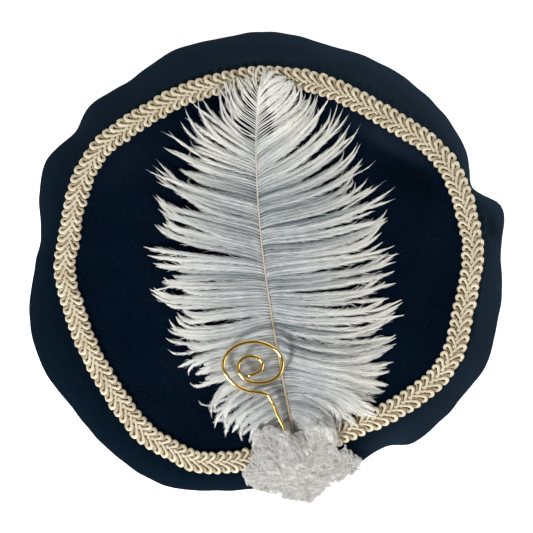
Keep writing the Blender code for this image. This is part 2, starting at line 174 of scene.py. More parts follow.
# Where the cloth is painted paler or more shaded, as painted light on its folds' ridges and painted
# shade
# in their valleys: the middle of a patch in shares of BRAID_REACH, its turn in degrees, its half
# length and half width in the same shares, and how much painted light it gets, painted shade where
# below nought.
PAINTED_FOLD_SHADING = (
    (0.63, 0.62, -32, 0.24, 0.055, 0.95), (0.73, 0.44, -21, 0.20, 0.075, -0.9),
    (1.15, 0.07, -50, 0.08, 0.022, 0.90), (1.14, 0.18, -80, 0.07, 0.040, -0.6),
    (-0.71, 0.55, 50, 0.18, 0.12, 0.25), (0.69, -0.84, 40, 0.20, 0.06, 0.45),
    (0.42, -0.90, 30, 0.08, 0.06, -0.7), (0.86, -0.20, 80, 0.25, 0.05, -0.25),
    (-0.30, -0.72, -20, 0.25, 0.06, -0.2), (1.05, -0.45, 70, 0.15, 0.08, 0.25),
)

# The quill's route in plan, as the four poles of a cubic curve in shares of BRAID_REACH.
QUILL_POLES = ((0.140, -0.858), (0.021, -0.260), (-0.090, 0.335), (-0.038, 0.900))

# One row for each lock of barbs, from the base up, as charted: its root as a share of the
# way up the quill, then the middle and the tip of its route, as x and y in shares of BRAID_REACH.
LEFT_LOCKS = (
    (0.012, 0.09, -0.88, 0.06, -0.93), (0.033, 0.06, -0.85, 0.01, -0.92),
    (0.053, 0.02, -0.83, -0.04, -0.90),
    (0.073, -0.02, -0.80, -0.08, -0.88), (0.101, -0.07, -0.77, -0.14, -0.88),
    (0.129, -0.12, -0.75, -0.19, -0.88), (0.157, -0.16, -0.68, -0.26, -0.78),
    (0.185, -0.18, -0.62, -0.26, -0.69), (0.214, -0.25, -0.57, -0.35, -0.64),
    (0.236, -0.27, -0.51, -0.38, -0.60), (0.262, -0.28, -0.47, -0.42, -0.51),
    (0.293, -0.29, -0.41, -0.48, -0.37), (0.321, -0.29, -0.35, -0.48, -0.31),
    (0.355, -0.29, -0.25, -0.47, -0.21), (0.383, -0.32, -0.19, -0.57, -0.15),
    (0.411, -0.30, -0.13, -0.50, -0.11), (0.440, -0.32, -0.06, -0.56, -0.05),
    (0.460, -0.32, -0.02, -0.58, 0.01), (0.477, -0.32, 0.02, -0.60, 0.10),
    (0.497, -0.32, 0.10, -0.57, 0.17), (0.522, -0.31, 0.14, -0.49, 0.19),
    (0.548, -0.32, 0.19, -0.56, 0.25), (0.571, -0.32, 0.24, -0.57, 0.32),
    (0.594, -0.28, 0.28, -0.46, 0.35), (0.617, -0.34, 0.32, -0.59, 0.47),
    (0.646, -0.33, 0.36, -0.59, 0.53), (0.686, -0.29, 0.42, -0.43, 0.47),
    (0.724, -0.31, 0.50, -0.52, 0.61), (0.748, -0.28, 0.56, -0.49, 0.64),
    (0.766, -0.28, 0.60, -0.47, 0.71), (0.779, -0.27, 0.64, -0.42, 0.77),
    (0.792, -0.25, 0.66, -0.38, 0.81), (0.810, -0.23, 0.70, -0.33, 0.85),
    (0.822, -0.18, 0.69, -0.25, 0.87), (0.840, -0.19, 0.72, -0.25, 0.92),
    (0.869, -0.17, 0.77, -0.22, 0.94), (0.887, -0.15, 0.79, -0.18, 0.93),
    (0.907, -0.13, 0.81, -0.19, 0.95), (0.925, -0.11, 0.84, -0.15, 0.94),
    (0.943, -0.10, 0.86, -0.14, 0.95), (0.960, -0.08, 0.88, -0.11, 0.96),
    (0.972, -0.07, 0.89, -0.10, 0.96), (0.981, -0.06, 0.92, -0.07, 0.99),
    (0.990, -0.05, 0.94, -0.04, 1.00),
)
RIGHT_LOCKS = (
    (0.008, 0.17, -0.87, 0.20, -0.96), (0.026, 0.18, -0.83, 0.24, -0.93),
    (0.045, 0.18, -0.81, 0.22, -0.87), (0.067, 0.22, -0.78, 0.28, -0.88),
    (0.090, 0.27, -0.75, 0.34, -0.91), (0.112, 0.30, -0.70, 0.39, -0.84),
    (0.135, 0.32, -0.67, 0.48, -0.80), (0.157, 0.36, -0.64, 0.53, -0.76),
    (0.180, 0.36, -0.60, 0.56, -0.69), (0.202, 0.34, -0.56, 0.60, -0.62),
    (0.228, 0.30, -0.52, 0.61, -0.55), (0.256, 0.30, -0.47, 0.60, -0.47),
    (0.284, 0.30, -0.42, 0.67, -0.40), (0.310, 0.30, -0.36, 0.65, -0.32),
    (0.338, 0.30, -0.29, 0.68, -0.24), (0.360, 0.30, -0.24, 0.67, -0.18),
    (0.383, 0.31, -0.18, 0.65, -0.13), (0.409, 0.30, -0.11, 0.63, -0.05),
    (0.434, 0.30, -0.06, 0.65, 0.04), (0.458, 0.27, 0.00, 0.63, 0.10),
    (0.491, 0.28, 0.06, 0.60, 0.14), (0.520, 0.34, 0.10, 0.62, 0.23),
    (0.542, 0.33, 0.15, 0.63, 0.27), (0.566, 0.33, 0.21, 0.64, 0.35),
    (0.598, 0.31, 0.29, 0.56, 0.43), (0.620, 0.30, 0.32, 0.43, 0.40),
    (0.639, 0.32, 0.38, 0.47, 0.52), (0.663, 0.27, 0.43, 0.48, 0.60),
    (0.689, 0.23, 0.49, 0.43, 0.68), (0.715, 0.21, 0.56, 0.40, 0.77),
    (0.751, 0.17, 0.63, 0.32, 0.83), (0.791, 0.13, 0.68, 0.28, 0.84),
    (0.819, 0.11, 0.70, 0.25, 0.85), (0.847, 0.12, 0.75, 0.21, 0.87),
    (0.871, 0.09, 0.78, 0.17, 0.91), (0.894, 0.06, 0.81, 0.15, 0.91),
    (0.918, 0.04, 0.84, 0.14, 0.92), (0.943, 0.03, 0.88, 0.11, 0.93),
    (0.961, 0.02, 0.91, 0.09, 0.95), (0.980, 0.00, 0.93, 0.04, 0.99),
    (0.990, -0.02, 0.94, -0.01, 1.00),
)
# Single thin barbs that reach past or cross the locks, in the same form.
LEFT_STRAYS = (
    (0.527, -0.33, 0.18, -0.56, 0.35), (0.850, -0.16, 0.71, -0.17, 0.93),
    (0.735, -0.30, 0.52, -0.51, 0.70), (0.300, -0.30, -0.42, -0.49, -0.45),
    (0.430, -0.33, -0.10, -0.58, -0.13), (0.160, -0.20, -0.68, -0.34, -0.70),
)
RIGHT_STRAYS = (
    (0.680, 0.26, 0.50, 0.50, 0.68), (0.631, 0.30, 0.38, 0.55, 0.53),
    (0.589, 0.32, 0.27, 0.57, 0.39), (0.577, 0.32, 0.25, 0.60, 0.43),
    (0.722, 0.21, 0.55, 0.36, 0.83), (0.450, 0.31, 0.00, 0.67, 0.05),
    (0.236, 0.33, -0.50, 0.64, -0.49), (0.150, 0.37, -0.66, 0.56, -0.73),
)

# The barbs. Their pitch is given at the base and the tip of the feather, and how far a lock pulls
# them together at their middles and at their tips. A stray is how far aside a barb alone, then its
# whole clump, may lie.
BARB_PITCH = (0.00142, 0.0021)
BARB_POINTS = 27
BARB_SIDES = 4
BARB_RADIUS = 0.00036
BARB_HOOK = 0.0017
HOOK_RUN = 0.0026
BARB_CURL = 0.0066
ROOTS_BEFORE = 0.02
LAST_ROOT = 0.994
LOCK_PULL = (0.30, 0.83)
TIP_STRAY = (0.0022, 0.0034)
MIDDLE_STRAY = (0.0008, 0.0022)
CLUMP_CHANCE = 0.45
CROSS_CHANCE = 0.24
LONG_BARB = 0.05
BARBULES = 31500
DOWN = 16000
BARBULE = 0.0072
BARBULE_SPREAD = 0.00155
DOWN_SPREAD = 0.0015
BARBULE_WIDTH = 0.00027
STRAND_STATIONS = (0.0, 0.36, 0.72, 1.0)

# What changes up the quill, by side: shares of the way up it, then the values there. They are the
# barbs' pitch, how far locks pull them together, how downy they are, how full the locks stay up
# to their ends, how many barbules they have, and how wide the barbules and the down spread.
UP_QUILL = {
    "left": {
        "pitch": ((0.10, 0.30, 0.80, 0.93), (1.0, 1.0, 1.0, 0.62)),
        "pull": ((0.10, 0.24, 0.36), (1.0, 1.0, 1.0)),
        "downy": ((0.12, 0.36), (1.0, 0.0)),
        "full": ((0.25, 0.33, 0.52, 0.62), (0.0, 0.6, 0.6, 0.0)),
        "cover": ((0.0, 0.15, 0.78, 0.86, 1.0), (1.3, 1.0, 1.0, 0.5, 0.5)),
        "spread": ((0.18, 0.30, 0.70, 0.85, 1.0), (1.0, 1.0, 1.0, 0.5, 0.45)),
        "down_spread": ((0.0, 0.3), (1.0, 1.0)),
    },
    "right": {
        "pitch": ((0.10, 0.30, 0.80, 0.93), (0.62, 0.9, 1.0, 0.36)),
        "pull": ((0.10, 0.24, 0.36), (0.12, 0.20, 0.9)),
        "downy": ((0.12, 0.36), (0.2, 0.0)),
        "full": ((0.16, 0.26, 0.46, 0.60), (0.6, 1.0, 0.9, 0.2)),
        "cover": ((0.0, 0.15, 0.78, 0.86, 1.0), (1.3, 1.0, 1.0, 0.9, 0.9)),
        "spread": ((0.18, 0.30, 0.70, 0.85, 1.0), (1.7, 1.0, 1.0, 0.9, 0.81)),
        "down_spread": ((0.0, 0.3), (1.7, 1.0)),
    },
    # How much shorter and thicker the barbs are, the bare share at their roots, how wide their
    # barbules start, how soon their ends get the painted warm light (cream), and how much down they
    # have and how it curls.
    "both": {
        "short": ((0.80, 0.90), (1.0, 0.3)),
        "thick": ((0.0, 0.25, 0.93, 1.0), (0.45, 1.0, 1.0, 0.55)),
        "bare": ((0.0, 0.65, 0.80, 0.92, 1.0), (0.0, 0.0, 0.10, 0.20, 0.25)),
        "near": ((0.0, 0.65, 0.85), (0.62, 0.50, 0.10)),
        "cream": ((0.62, 0.86, 0.96), (0.0, 0.75, 1.0)),
        "down": ((0.0, 0.25, 0.80, 0.84, 1.0), (1.6, 1.0, 1.0, 0.0, 0.0)),
        "down_curl": ((0.0, 0.15, 0.35), (0.0010, 0.0006, 0.00015)),
    },
}
# How wide barbules spread at shares of the way out along a barb.
SPREAD_OUT = ((0.0, 0.30, 0.60, 0.90), (1.0, 0.90, 0.56, 0.30))

# The pin's spiral, inwards from its stem: angle in degrees, share of SPIRAL_REACH.
SPIRAL_TURNS = (
    (278, 0.96), (246, 0.86), (215, 0.84), (180, 0.90), (140, 0.94), (98, 0.96),
    (56, 1.02), (25, 1.06), (0, 1.02), (-25, 0.92), (-65, 0.66), (-100, 0.53),
    (-150, 0.43), (-210, 0.42), (-268, 0.42), (-330, 0.41), (-375, 0.34), (-420, 0.28),
    (-475, 0.32),
)
SPIRAL_CENTRE = (-0.076, -0.510)
PIN_STEM = ((-0.005, -0.642), (0.019, -0.662), (0.060, -0.755), (0.100, -0.842), (0.116, -0.900))

STAR_CENTRE = (0.155, -0.993)
# One row for each point of the star: the angle and reach of its tip, then of the notch that
# follows it, in degrees and in shares of STAR_REACH.
STAR_POINTS = (
    (49, 0.93, 99, 0.49), (143, 1.00, 172, 0.77), (198, 1.00, 238, 0.60),
    (283, 0.72, 330, 0.70), (360, 1.19, 381, 0.77),
)
STAR_STATIONS = 180
STAR_RINGS = 26
# The pad's bumps: how high, how far across, and the seed of their places.
PAD_BUMPS = ((0.00045, 0.0045, 31), (0.0002, 0.0022, 32))
STAR_TUFTS = 640
EDGE_TUFTS = 140
TUFT_STRANDS = 6
TUFT_POINTS = 12
TUFT_LENGTH = 0.0092
TUFT_SPREAD = 0.00030
TUFT_INSET = 0.0012
STRAND = 0.00029

# One row for each lamp: its name, its azimuth from +X and its elevation in degrees, its distance,
# its size, its power and its colour.
LAMPS = (
    ("key", 232, 44, 1.6, 0.35, 22.2, (0.95, 0.98, 1.0)),
    ("side", -25, 35, 1.8, 0.9, 7.8, (1.0, 0.94, 0.84)),
    ("far", 62, 25, 2.0, 1.1, 5.5, (0.95, 0.98, 1.0)),
)
# The camera looks straight down and sees this much of the plane that it is set for.
CAMERA_PLACE = (0.0002, -0.0006, 5.0)
CAMERA_SEES = 0.3137
CAMERA_PLANE = 0.034
SENSOR = 36.0


def smooth_curve(keys, values, places):
    """Values given at rising keys, read at places between them on a smooth curve."""
    keys = np.asarray(keys, float)
    values = np.asarray(values, float)
    rest = (1,) * (values.ndim - 1)
    gaps = np.diff(keys).reshape(-1, *rest)
    slopes = np.empty_like(values)
    slopes[1:-1] = (values[2:] - values[:-2]) / (gaps[1:] + gaps[:-1])
    slopes[0] = (values[1] - values[0]) / gaps[0]
    slopes[-1] = (values[-1] - values[-2]) / gaps[-1]
    i = np.clip(np.searchsorted(keys, places, side="right") - 1, 0, len(keys) - 2)
    span = gaps[i]
    t = (np.asarray(places, float) - keys[i]).reshape(-1, *rest) / span
    return (
        values[i] * (1 + 2 * t) * (1 - t) ** 2 + slopes[i] * span * t * (1 - t) ** 2
        + values[i + 1] * t * t * (3 - 2 * t) - slopes[i + 1] * span * t * t * (1 - t)
    )


def round_curve(rows, column, angles):
    """A column of a table whose first column is an angle, read all round the circle."""
    keys = [row[0] for row in rows]
    values = [row[column] for row in rows]
    keys = [keys[-2] - 360, keys[-1] - 360] + keys + [keys[0] + 360, keys[1] + 360]
    values = values[-2:] + values + values[:2]
    return smooth_curve(keys, values, np.asarray(angles, float) % 360)


def waves(x, y, size, seed, count=14):
    """Soft uneven hills about a size across, between about -1 and 1."""
    random = np.random.default_rng(seed)
    total = np.zeros(np.broadcast(x, y).shape)
    for turn, phase, stretch in random.random((count, 3)):
        pace = 2 * math.pi / (size * (0.7 + stretch))
        across = x * math.cos(2 * math.pi * turn) + y * math.sin(2 * math.pi * turn)
        total += np.sin(across * pace + 2 * math.pi * phase)
    return total / math.sqrt(count / 2) / 1.6


def unit(vectors):
    return vectors / (np.linalg.norm(vectors, axis=-1, keepdims=True) + 1e-12)


def about_one(random, shape):
    return 0.7 + 0.6 * random.random(shape)


def either_side(random, shape):
    return np.where(random.random(shape) < 0.5, -1.0, 1.0)


def make_piece(name, points, blocks, material, node, marks=None):
    """A smooth mesh of points and blocks of faces with as many corners each, riding on the body."""
    mesh = bpy.data.meshes.new(name)
    mesh.vertices.add(len(points))
    mesh.vertices.foreach_set("co", np.ascontiguousarray(points, np.float32).ravel())
    corners = np.concatenate([block.ravel() for block in blocks])
    sizes = np.concatenate([np.full(len(block), block.shape[1]) for block in blocks])
    starts = np.concatenate([[0], np.cumsum(sizes)[:-1]])
    mesh.loops.add(len(corners))
    mesh.loops.foreach_set("vertex_index", corners.astype(np.int32))
    mesh.polygons.add(len(sizes))
    mesh.polygons.foreach_set("loop_start", starts.astype(np.int32))
    mesh.polygons.foreach_set("use_smooth", np.ones(len(sizes), bool))
    mesh.update(calc_edges=True)
    for mark, values in (marks or {}).items():
        layer = mesh.attributes.new(mark, "FLOAT", "POINT")
        layer.data.foreach_set("value", np.ascontiguousarray(values, np.float32))
    mesh.materials.append(material)
    piece = bpy.data.objects.new(name, mesh)
    bpy.context.scene.collection.objects.link(piece)
    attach(piece, "root")
    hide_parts(node)
    return piece


def joined(parts):
    """Several (points, blocks, marks) as one."""
    points, blocks, marks, start = [], [], {}, 0
    for part_points, part_blocks, part_marks in parts:
        points.append(part_points)
        blocks += [block + start for block in part_blocks]
        for mark, values in part_marks.items():
            marks.setdefault(mark, []).append(values)
        start += len(part_points)
    marks = {mark: np.concatenate(values) for mark, values in marks.items()}
    return np.concatenate(points), blocks, marks


def frames_of(paths):
    """The directions beside and over every point of many paths."""
    along = unit(np.gradient(paths, axis=1))
    side = unit(np.cross(along, (0.0, 0.0, 1.0)))
    return side, np.cross(side, along)


def faces_between(index):
    """Faces with four corners between closed rings of corners that follow each other."""
    here, there = index[..., :-1, :], index[..., 1:, :]
    quads = np.stack([here, there, np.roll(there, -1, -1), np.roll(here, -1, -1)], axis=-1)
    return quads.reshape(-1, 4)


def sweep(paths, radii, sides, twist=0.0, lay=1.0):
    """Closed round tubes along many paths at once. A twist makes them two-ply cords."""
    count, steps = paths.shape[:2]
    side, up = frames_of(paths)
    turn = np.arange(sides) * 2 * math.pi / sides
    run = np.linalg.norm(np.diff(paths, axis=1), axis=2).cumsum(axis=1)
    run = np.concatenate([np.zeros((count, 1)), run], axis=1)
    swell = 1 + twist * np.cos(2 * turn - 2 * math.pi * run[..., None] / lay)
    around = (
        np.cos(turn)[:, None] * side[:, :, None, :] + np.sin(turn)[:, None] * up[:, :, None, :]
    )
    points = paths[:, :, None, :] + around * (radii[:, :, None] * swell)[..., None]
    index = np.arange(count * steps * sides).reshape(count, steps, sides)
    ends = np.concatenate([index[:, 0], index[:, -1, ::-1]])
    return points.reshape(-1, 3), [faces_between(index), ends]


def ribbons(paths, widths, roll):
    """Flat strands along many paths at once that end in a point."""
    count, steps = paths.shape[:2]
    side, up = frames_of(paths)
    across = side * np.cos(roll)[:, None, None] + up * np.sin(roll)[:, None, None]
    half = (across * widths[..., None] / 2)[:, :-1]
    edges = np.stack([paths[:, :-1] - half, paths[:, :-1] + half], axis=2)
    points = np.concatenate([edges.reshape(count, -1, 3), paths[:, -1:]], axis=1)
    index = np.arange(count * (2 * steps - 1)).reshape(count, -1)
    quads = [index[:, [2 * k, 2 * k + 1, 2 * k + 3, 2 * k + 2]] for k in range(steps - 2)]
    return points.reshape(-1, 3), [np.concatenate(quads), index[:, -3:]]


def along_ribbons(values):
    """Values at the stations of strands, repeated for the corners of their ribbons."""
    return np.concatenate([np.repeat(values[:, :-1], 2, axis=1), values[:, -1:]], axis=1)


def fold_rise(angles, reach):
    """How far the soft folds lift the crown's top at angles and distances from its middle."""
    total = np.zeros(np.broadcast(angles, reach).shape)
    for at, spread, far, breadth, rise in FOLDS + FINE_FOLDS:
        turn = (angles - at + 180) % 360 - 180
        out = reach / BRAID_REACH - far
        total += rise * np.exp(-((turn / spread) ** 2) - (out / breadth) ** 2)
    return total * RIDGE_HEIGHT


def crown_sections(angles):
    """The outer face of the cloth at each angle, from its middle over the rim to the hem."""
    middle = BRAID_REACH * round_curve(SECTIONS, 1, angles)
    band = round_curve(SECTIONS, 2, angles)
    rim = middle + BAND_WIDTH * band
    rim_height = RIM_HEIGHT * (1 + SLACK_DROOP * (1 - band))
    inner = middle - BRAID_WIDTH / 2
    outer = middle + BRAID_WIDTH / 2
    outer_height = RIDGE_HEIGHT * BRAID_RINGS[2][1]
    hem = OPENING_REACH + HEM_WIDTH
    rows = [(0 * middle, 0 * middle + TOP_RINGS[0][1] * RIDGE_HEIGHT)]
    rows += [(share * inner, 0 * middle + height * RIDGE_HEIGHT) for share, height in TOP_RINGS]
    rows += [
        (middle + side * BRAID_WIDTH, 0 * middle + height * RIDGE_HEIGHT)
        for side, height in BRAID_RINGS
    ]
    rows += [
        (outer + share * (rim - outer), rim_height + fall * (outer_height - rim_height))
        for share, fall in BAND_RINGS
    ]
    rows = [(reach, height + fold_rise(angles, reach)) for reach, height in rows]
    rows += [(rim + share * (hem - rim), fall * rim_height) for share, fall in UNDER_RINGS]
    turned = (
        (hem, 0.0), (OPENING_REACH + HEM_FOLD, 0.0), (OPENING_REACH, HEM_FOLD),
        (OPENING_REACH + HEM_FOLD, 2 * HEM_FOLD), (hem - HEM_FOLD, 2 * HEM_FOLD),
    )
    rows += [(0 * middle + reach, 0 * middle + height) for reach, height in turned]
    return np.array([row[0] for row in rows]), np.array([row[1] for row in rows])


def crown_points():
    """A fine grid over the cloth, ring by ring from its middle, and the marks for its painted light
    and shade.
    """
    angles = np.arange(CROWN_STATIONS) * 360 / CROWN_STATIONS
    reach, height = crown_sections(angles)
    chords = np.hypot(np.diff(reach, axis=0), np.diff(height, axis=0)).mean(axis=1)
    keys = np.concatenate([[0], chords.cumsum()])
    rim_key = keys[1 + len(TOP_RINGS) + len(BRAID_RINGS) + len(BAND_RINGS) - 1]
    places = []
    for low, high in zip(keys, keys[1:]):
        step = 0.0050 if high < 0.085 else 0.0024 if high <= rim_key + 0.004 else 0.0022
        pieces = max(1, math.ceil((high - low) / step))
        places += [low + (high - low) * piece / pieces for piece in range(pieces)]
    places = np.array(places[1:] + [keys[-1]])
    reach = smooth_curve(keys, reach, places)
    height = smooth_curve(keys, height, places)
    turn = np.radians(angles)
    x, y = reach * np.cos(turn), reach * np.sin(turn)
    middle = BRAID_REACH * round_curve(SECTIONS, 1, angles)
    on_top = np.clip((rim_key - places) / 0.012, 0, 1)[:, None]
    height += on_top * 0.00035 * waves(x, y, 0.040, 11)
    height += on_top * 0.00010 * waves(x, y, 0.011, 12)
    for edge, seed in ((-1, 13), (1, 14)):
        away = np.abs(reach - middle - edge * (BRAID_WIDTH / 2 + 0.0010))
        pull = 0.5 + 0.5 * waves(turn * BRAID_REACH, 0 * turn, 0.009, seed)
        height -= on_top * 0.00050 * pull * np.exp(-((away / 0.0024) ** 2))
    rim_bell = np.exp(-(((places - rim_key) / 0.010) ** 2))[:, None]
    push = 0.0003 * waves(turn * BRAID_REACH, 0 * turn, 0.016, 15) * rim_bell
    x, y = x + push * np.cos(turn), y + push * np.sin(turn)
    height += 0.0004 * waves(turn * BRAID_REACH, 0 * turn, 0.012, 16) * rim_bell
    points = np.stack([x, y, np.maximum(height, 0)], axis=-1)
    # Painted light: the band outside the braid is painted paler the more it lies towards 45°, where
    # its slopes face the light.
    band = np.clip((reach - middle) / (0.6 * BRAID_WIDTH) + 0.5, 0, 1)
    towards_light = (0.5 + 0.5 * np.cos(turn - math.radians(45))) ** 1.5 + 0 * reach
    return points, {"band": band, "lit_side": towards_light, **painted_fold_marks(x, y)}


def painted_fold_marks(x, y):
    """How much painted light and painted shade the folds get at places in plan."""
    total = np.zeros(np.shape(x))
    for px, py, degrees, half_length, half_width, amount in PAINTED_FOLD_SHADING:
        right, up = x / BRAID_REACH - px, y / BRAID_REACH - py
        turn = math.radians(degrees)
        along = right * math.cos(turn) + up * math.sin(turn)
        aside = up * math.cos(turn) - right * math.sin(turn)
        total += amount * np.exp(-((along / half_length) ** 2) - (aside / half_width) ** 2)
    return {"painted_fold_light": np.maximum(total, 0), "painted_fold_shade": np.maximum(-total, 0)}


def grid_faces(rings, count):
    """Faces between closed rings of points that follow a first single point."""
    index = 1 + np.arange(rings * count).reshape(rings, count)
    fan = np.stack([np.zeros(count, int), index[0], np.roll(index[0], -1)], axis=-1)
    return [faces_between(index), fan]


def set_inputs(node, values):
    for name, value in values.items():
        node.inputs[name].default_value = value


def shader_of(name, colour, roughness, metallic=0.0, specular=0.5):
    """A material, its node tree and its shader."""
    material = bpy.data.materials.new(name)
    material.use_nodes = True
    tree = material.node_tree
    shader = tree.nodes["Principled BSDF"]
    set_inputs(shader, {
        "Base Color": (*colour, 1.0), "Roughness": roughness, "Metallic": metallic,
        "Specular IOR Level": specular,
    })
    return material, tree, shader


def noise_of(tree, places, **values):
    """How strong a noise is at places, with the noise's own values by name."""
    noise = tree.nodes.new("ShaderNodeTexNoise")
    set_inputs(noise, values)
    tree.links.new(places, noise.inputs["Vector"])
    return noise.outputs["Fac"]


def blend_of(tree, amount, first, second):
    """A colour between two colours or sockets, by an amount socket."""
    mix = tree.nodes.new("ShaderNodeMix")
    mix.data_type = "RGBA"
    tree.links.new(amount, mix.inputs["Factor"])
    for name, colour in (("A", first), ("B", second)):
        socket = next(s for s in mix.inputs if s.name == name and s.type == "RGBA")
        if isinstance(colour, tuple):
            socket.default_value = (*colour, 1.0)
        else:
            tree.links.new(colour, socket)
    return next(s for s in mix.outputs if s.type == "RGBA")


def ramp_of(tree, amount, low, high, first=0.0, last=1.0):
    """Maps an amount between low and high to the range from first to last."""
    ramp = tree.nodes.new("ShaderNodeMapRange")
    set_inputs(ramp, {"From Min": low, "From Max": high, "To Min": first, "To Max": last})
    tree.links.new(amount, ramp.inputs["Value"])
    return ramp.outputs["Result"]


def bump_on(tree, shader, height, strength, distance, under=None):
    """Adds a bump to a shader, over another bump where one is given."""
    bump = tree.nodes.new("ShaderNodeBump")
    set_inputs(bump, {"Strength": strength, "Distance": distance})
    tree.links.new(height, bump.inputs["Height"])
    if under is not None:
        tree.links.new(under, bump.inputs["Normal"])
    tree.links.new(bump.outputs["Normal"], shader.inputs["Normal"])
    return bump.outputs["Normal"]


def object_places(tree):
    return tree.nodes.new("ShaderNodeTexCoord").outputs["Object"]


def mark_of(tree, name):
    node = tree.nodes.new("ShaderNodeAttribute")
    node.attribute_name = name
    return node.outputs["Fac"]


def twill_of(tree, places):
    """The fine diagonal ribs of the cloth."""
    turned = tree.nodes.new("ShaderNodeMapping")
    set_inputs(turned, {"Rotation": (0.0, 0.0, math.radians(64))})
    tree.links.new(places, turned.inputs["Vector"])
    twill = tree.nodes.new("ShaderNodeTexWave")
    set_inputs(twill, {"Scale": 290.0, "Distortion": 2.2, "Detail": 2.0, "Detail Scale": 1.5})
    tree.links.new(turned.outputs["Vector"], twill.inputs["Vector"])
    return twill.outputs["Fac"]


def cloth_material():
    """Matt navy cloth with a fine diagonal twill and uneven patches; the band outside the braid is
    painted paler and greyer as painted light, most on the side towards 45°, and the folds get painted
    light and shade.
    """
    material, tree, shader = shader_of("navy_cloth", (0.003, 0.008, 0.018), 0.9, 0.0, 0.0)
    sheen = {"Sheen Weight": 0.018, "Sheen Roughness": 0.5, "Sheen Tint": (0.50, 0.66, 0.85, 1.0)}
    set_inputs(shader, sheen)
    places = object_places(tree)
    patches = noise_of(tree, places, Scale=34.0, Detail=4.0, Roughness=0.65)
    fibres = noise_of(tree, places, Scale=950.0, Detail=2.0)
    twill = twill_of(tree, places)
    patches = ramp_of(tree, patches, 0.35, 0.66)
    disc = blend_of(tree, patches, (0.0005, 0.0023, 0.0077), (0.0018, 0.0047, 0.0117))
    # Painted light on the band, strongest on the side towards 45°.
    lit = mark_of(tree, "lit_side")
    band = blend_of(tree, lit, (0.0013, 0.0041, 0.0083), (0.0151, 0.0261, 0.0396))
    cloth = blend_of(tree, mark_of(tree, "band"), disc, band)
    # Painted light on the folds' ridges and painted shade in their valleys.
    for mark, colour in (("painted_fold_light", (0.0126, 0.0198, 0.0360)), ("painted_fold_shade", (0.0002, 0.0009, 0.0020))):
        cloth = blend_of(tree, ramp_of(tree, mark_of(tree, mark), 0.0, 1.0), cloth, colour)
    cloth = blend_of(tree, ramp_of(tree, twill, 0.2, 3.4), cloth, (0.0063, 0.0180, 0.0342))
    cloth = blend_of(tree, ramp_of(tree, fibres, 0.50, 1.30), cloth, (0.0090, 0.0234, 0.0432))
    tree.links.new(cloth, shader.inputs["Base Color"])
    ribs = bump_on(tree, shader, twill, 0.25, 0.00012)
    bump_on(tree, shader, fibres, 0.5, 0.00025, ribs)
    return material


def make_crown_cloth():
    """The crown as one cloth shell with the thickness of its solid."""
    grid, marks = crown_points()
    rings, count = grid.shape[:2]
    points = np.concatenate([grid[0].mean(axis=0, keepdims=True), grid.reshape(-1, 3)])
    for mark, values in marks.items():
        marks[mark] = np.concatenate([values[0, :1], values.ravel()])
    blocks = grid_faces(rings, count)
    piece = make_piece("crown_cloth", points, blocks, cloth_material(), "crown", marks)
    wall = piece.modifiers.new("cloth", "SOLIDIFY")
    wall.thickness = CLOTH
    wall.offset = -1
    return piece


class Ground:
    """The heights of what a piece lies on, read from a grid over the plan."""

    step = 0.0012
    half = 0.150

    def __init__(self, meshes):
        trees = [
            BVHTree.FromPolygons(
                [vertex.co[:] for vertex in mesh.vertices],
                [polygon.vertices[:] for polygon in mesh.polygons],
            )
            for mesh in meshes
        ]
        self.count = int(2 * self.half / self.step) + 1
        self.heights = np.zeros((self.count, self.count))
        down = Vector((0, 0, -1))
        for i in range(self.count):
            for j in range(self.count):
                start = Vector((i * self.step - self.half, j * self.step - self.half, 1.0))
                hits = [tree.ray_cast(start, down)[0] for tree in trees]
                self.heights[i, j] = max([hit.z for hit in hits if hit] + [0.0])

    def at(self, x, y):
        u = np.clip((x + self.half) / self.step, 0, self.count - 1.001)
        v = np.clip((y + self.half) / self.step, 0, self.count - 1.001)
        i, j = u.astype(int), v.astype(int)
        u, v = u - i, v - j
        h = self.heights
        return (
            h[i, j] * (1 - u) * (1 - v) + h[i + 1, j] * u * (1 - v)
            + h[i, j + 1] * (1 - u) * v + h[i + 1, j + 1] * u * v
        )


class Ring:
    """The braid's middle line, by the distance run along it anticlockwise from +X."""

    def __init__(self):
        angles = np.linspace(0, 360, 3601)
        reach = BRAID_REACH * round_curve(SECTIONS, 1, angles)
        turn = np.radians(angles)
        self.x, self.y = reach * np.cos(turn), reach * np.sin(turn)
        steps = np.hypot(np.diff(self.x), np.diff(self.y))
        self.run = np.concatenate([[0], steps.cumsum()])
        self.length = self.run[-1]

    def at(self, run):
        run = run % self.length
        return np.stack([np.interp(run, self.run, self.x), np.interp(run, self.run, self.y)], -1)

    def places(self, run, aside):
        """Points at a distance along the line and aside of it, outwards."""
        small = 0.0015
        ahead = unit(self.at(run + small) - self.at(run - small))
        outward = np.stack([ahead[..., 1], -ahead[..., 0]], -1)
        return self.at(run) + outward * aside[..., None]


def cord_material():
    """Satin cream cord of two plies, with painted shade, browner, where it lies lower."""
    material, tree, shader = shader_of("cream_braid", (0.72, 0.62, 0.43), 0.55, 0.0, 0.35)
    set_inputs(shader, {"Sheen Weight": 0.15})
    places = object_places(tree)
    patches = ramp_of(tree, noise_of(tree, places, Scale=120.0, Detail=2.0), 0.3, 0.7)
    lit = blend_of(tree, patches, (0.70, 0.595, 0.42), (0.87, 0.785, 0.60))
    with_painted_shade = blend_of(tree, mark_of(tree, "painted_depth_shade"), lit, (0.297, 0.212, 0.117))
    tree.links.new(with_painted_shade, shader.inputs["Base Color"])
    bump_on(tree, shader, noise_of(tree, places, Scale=2600.0, Detail=2.0), 0.25, 0.00015)
    return material


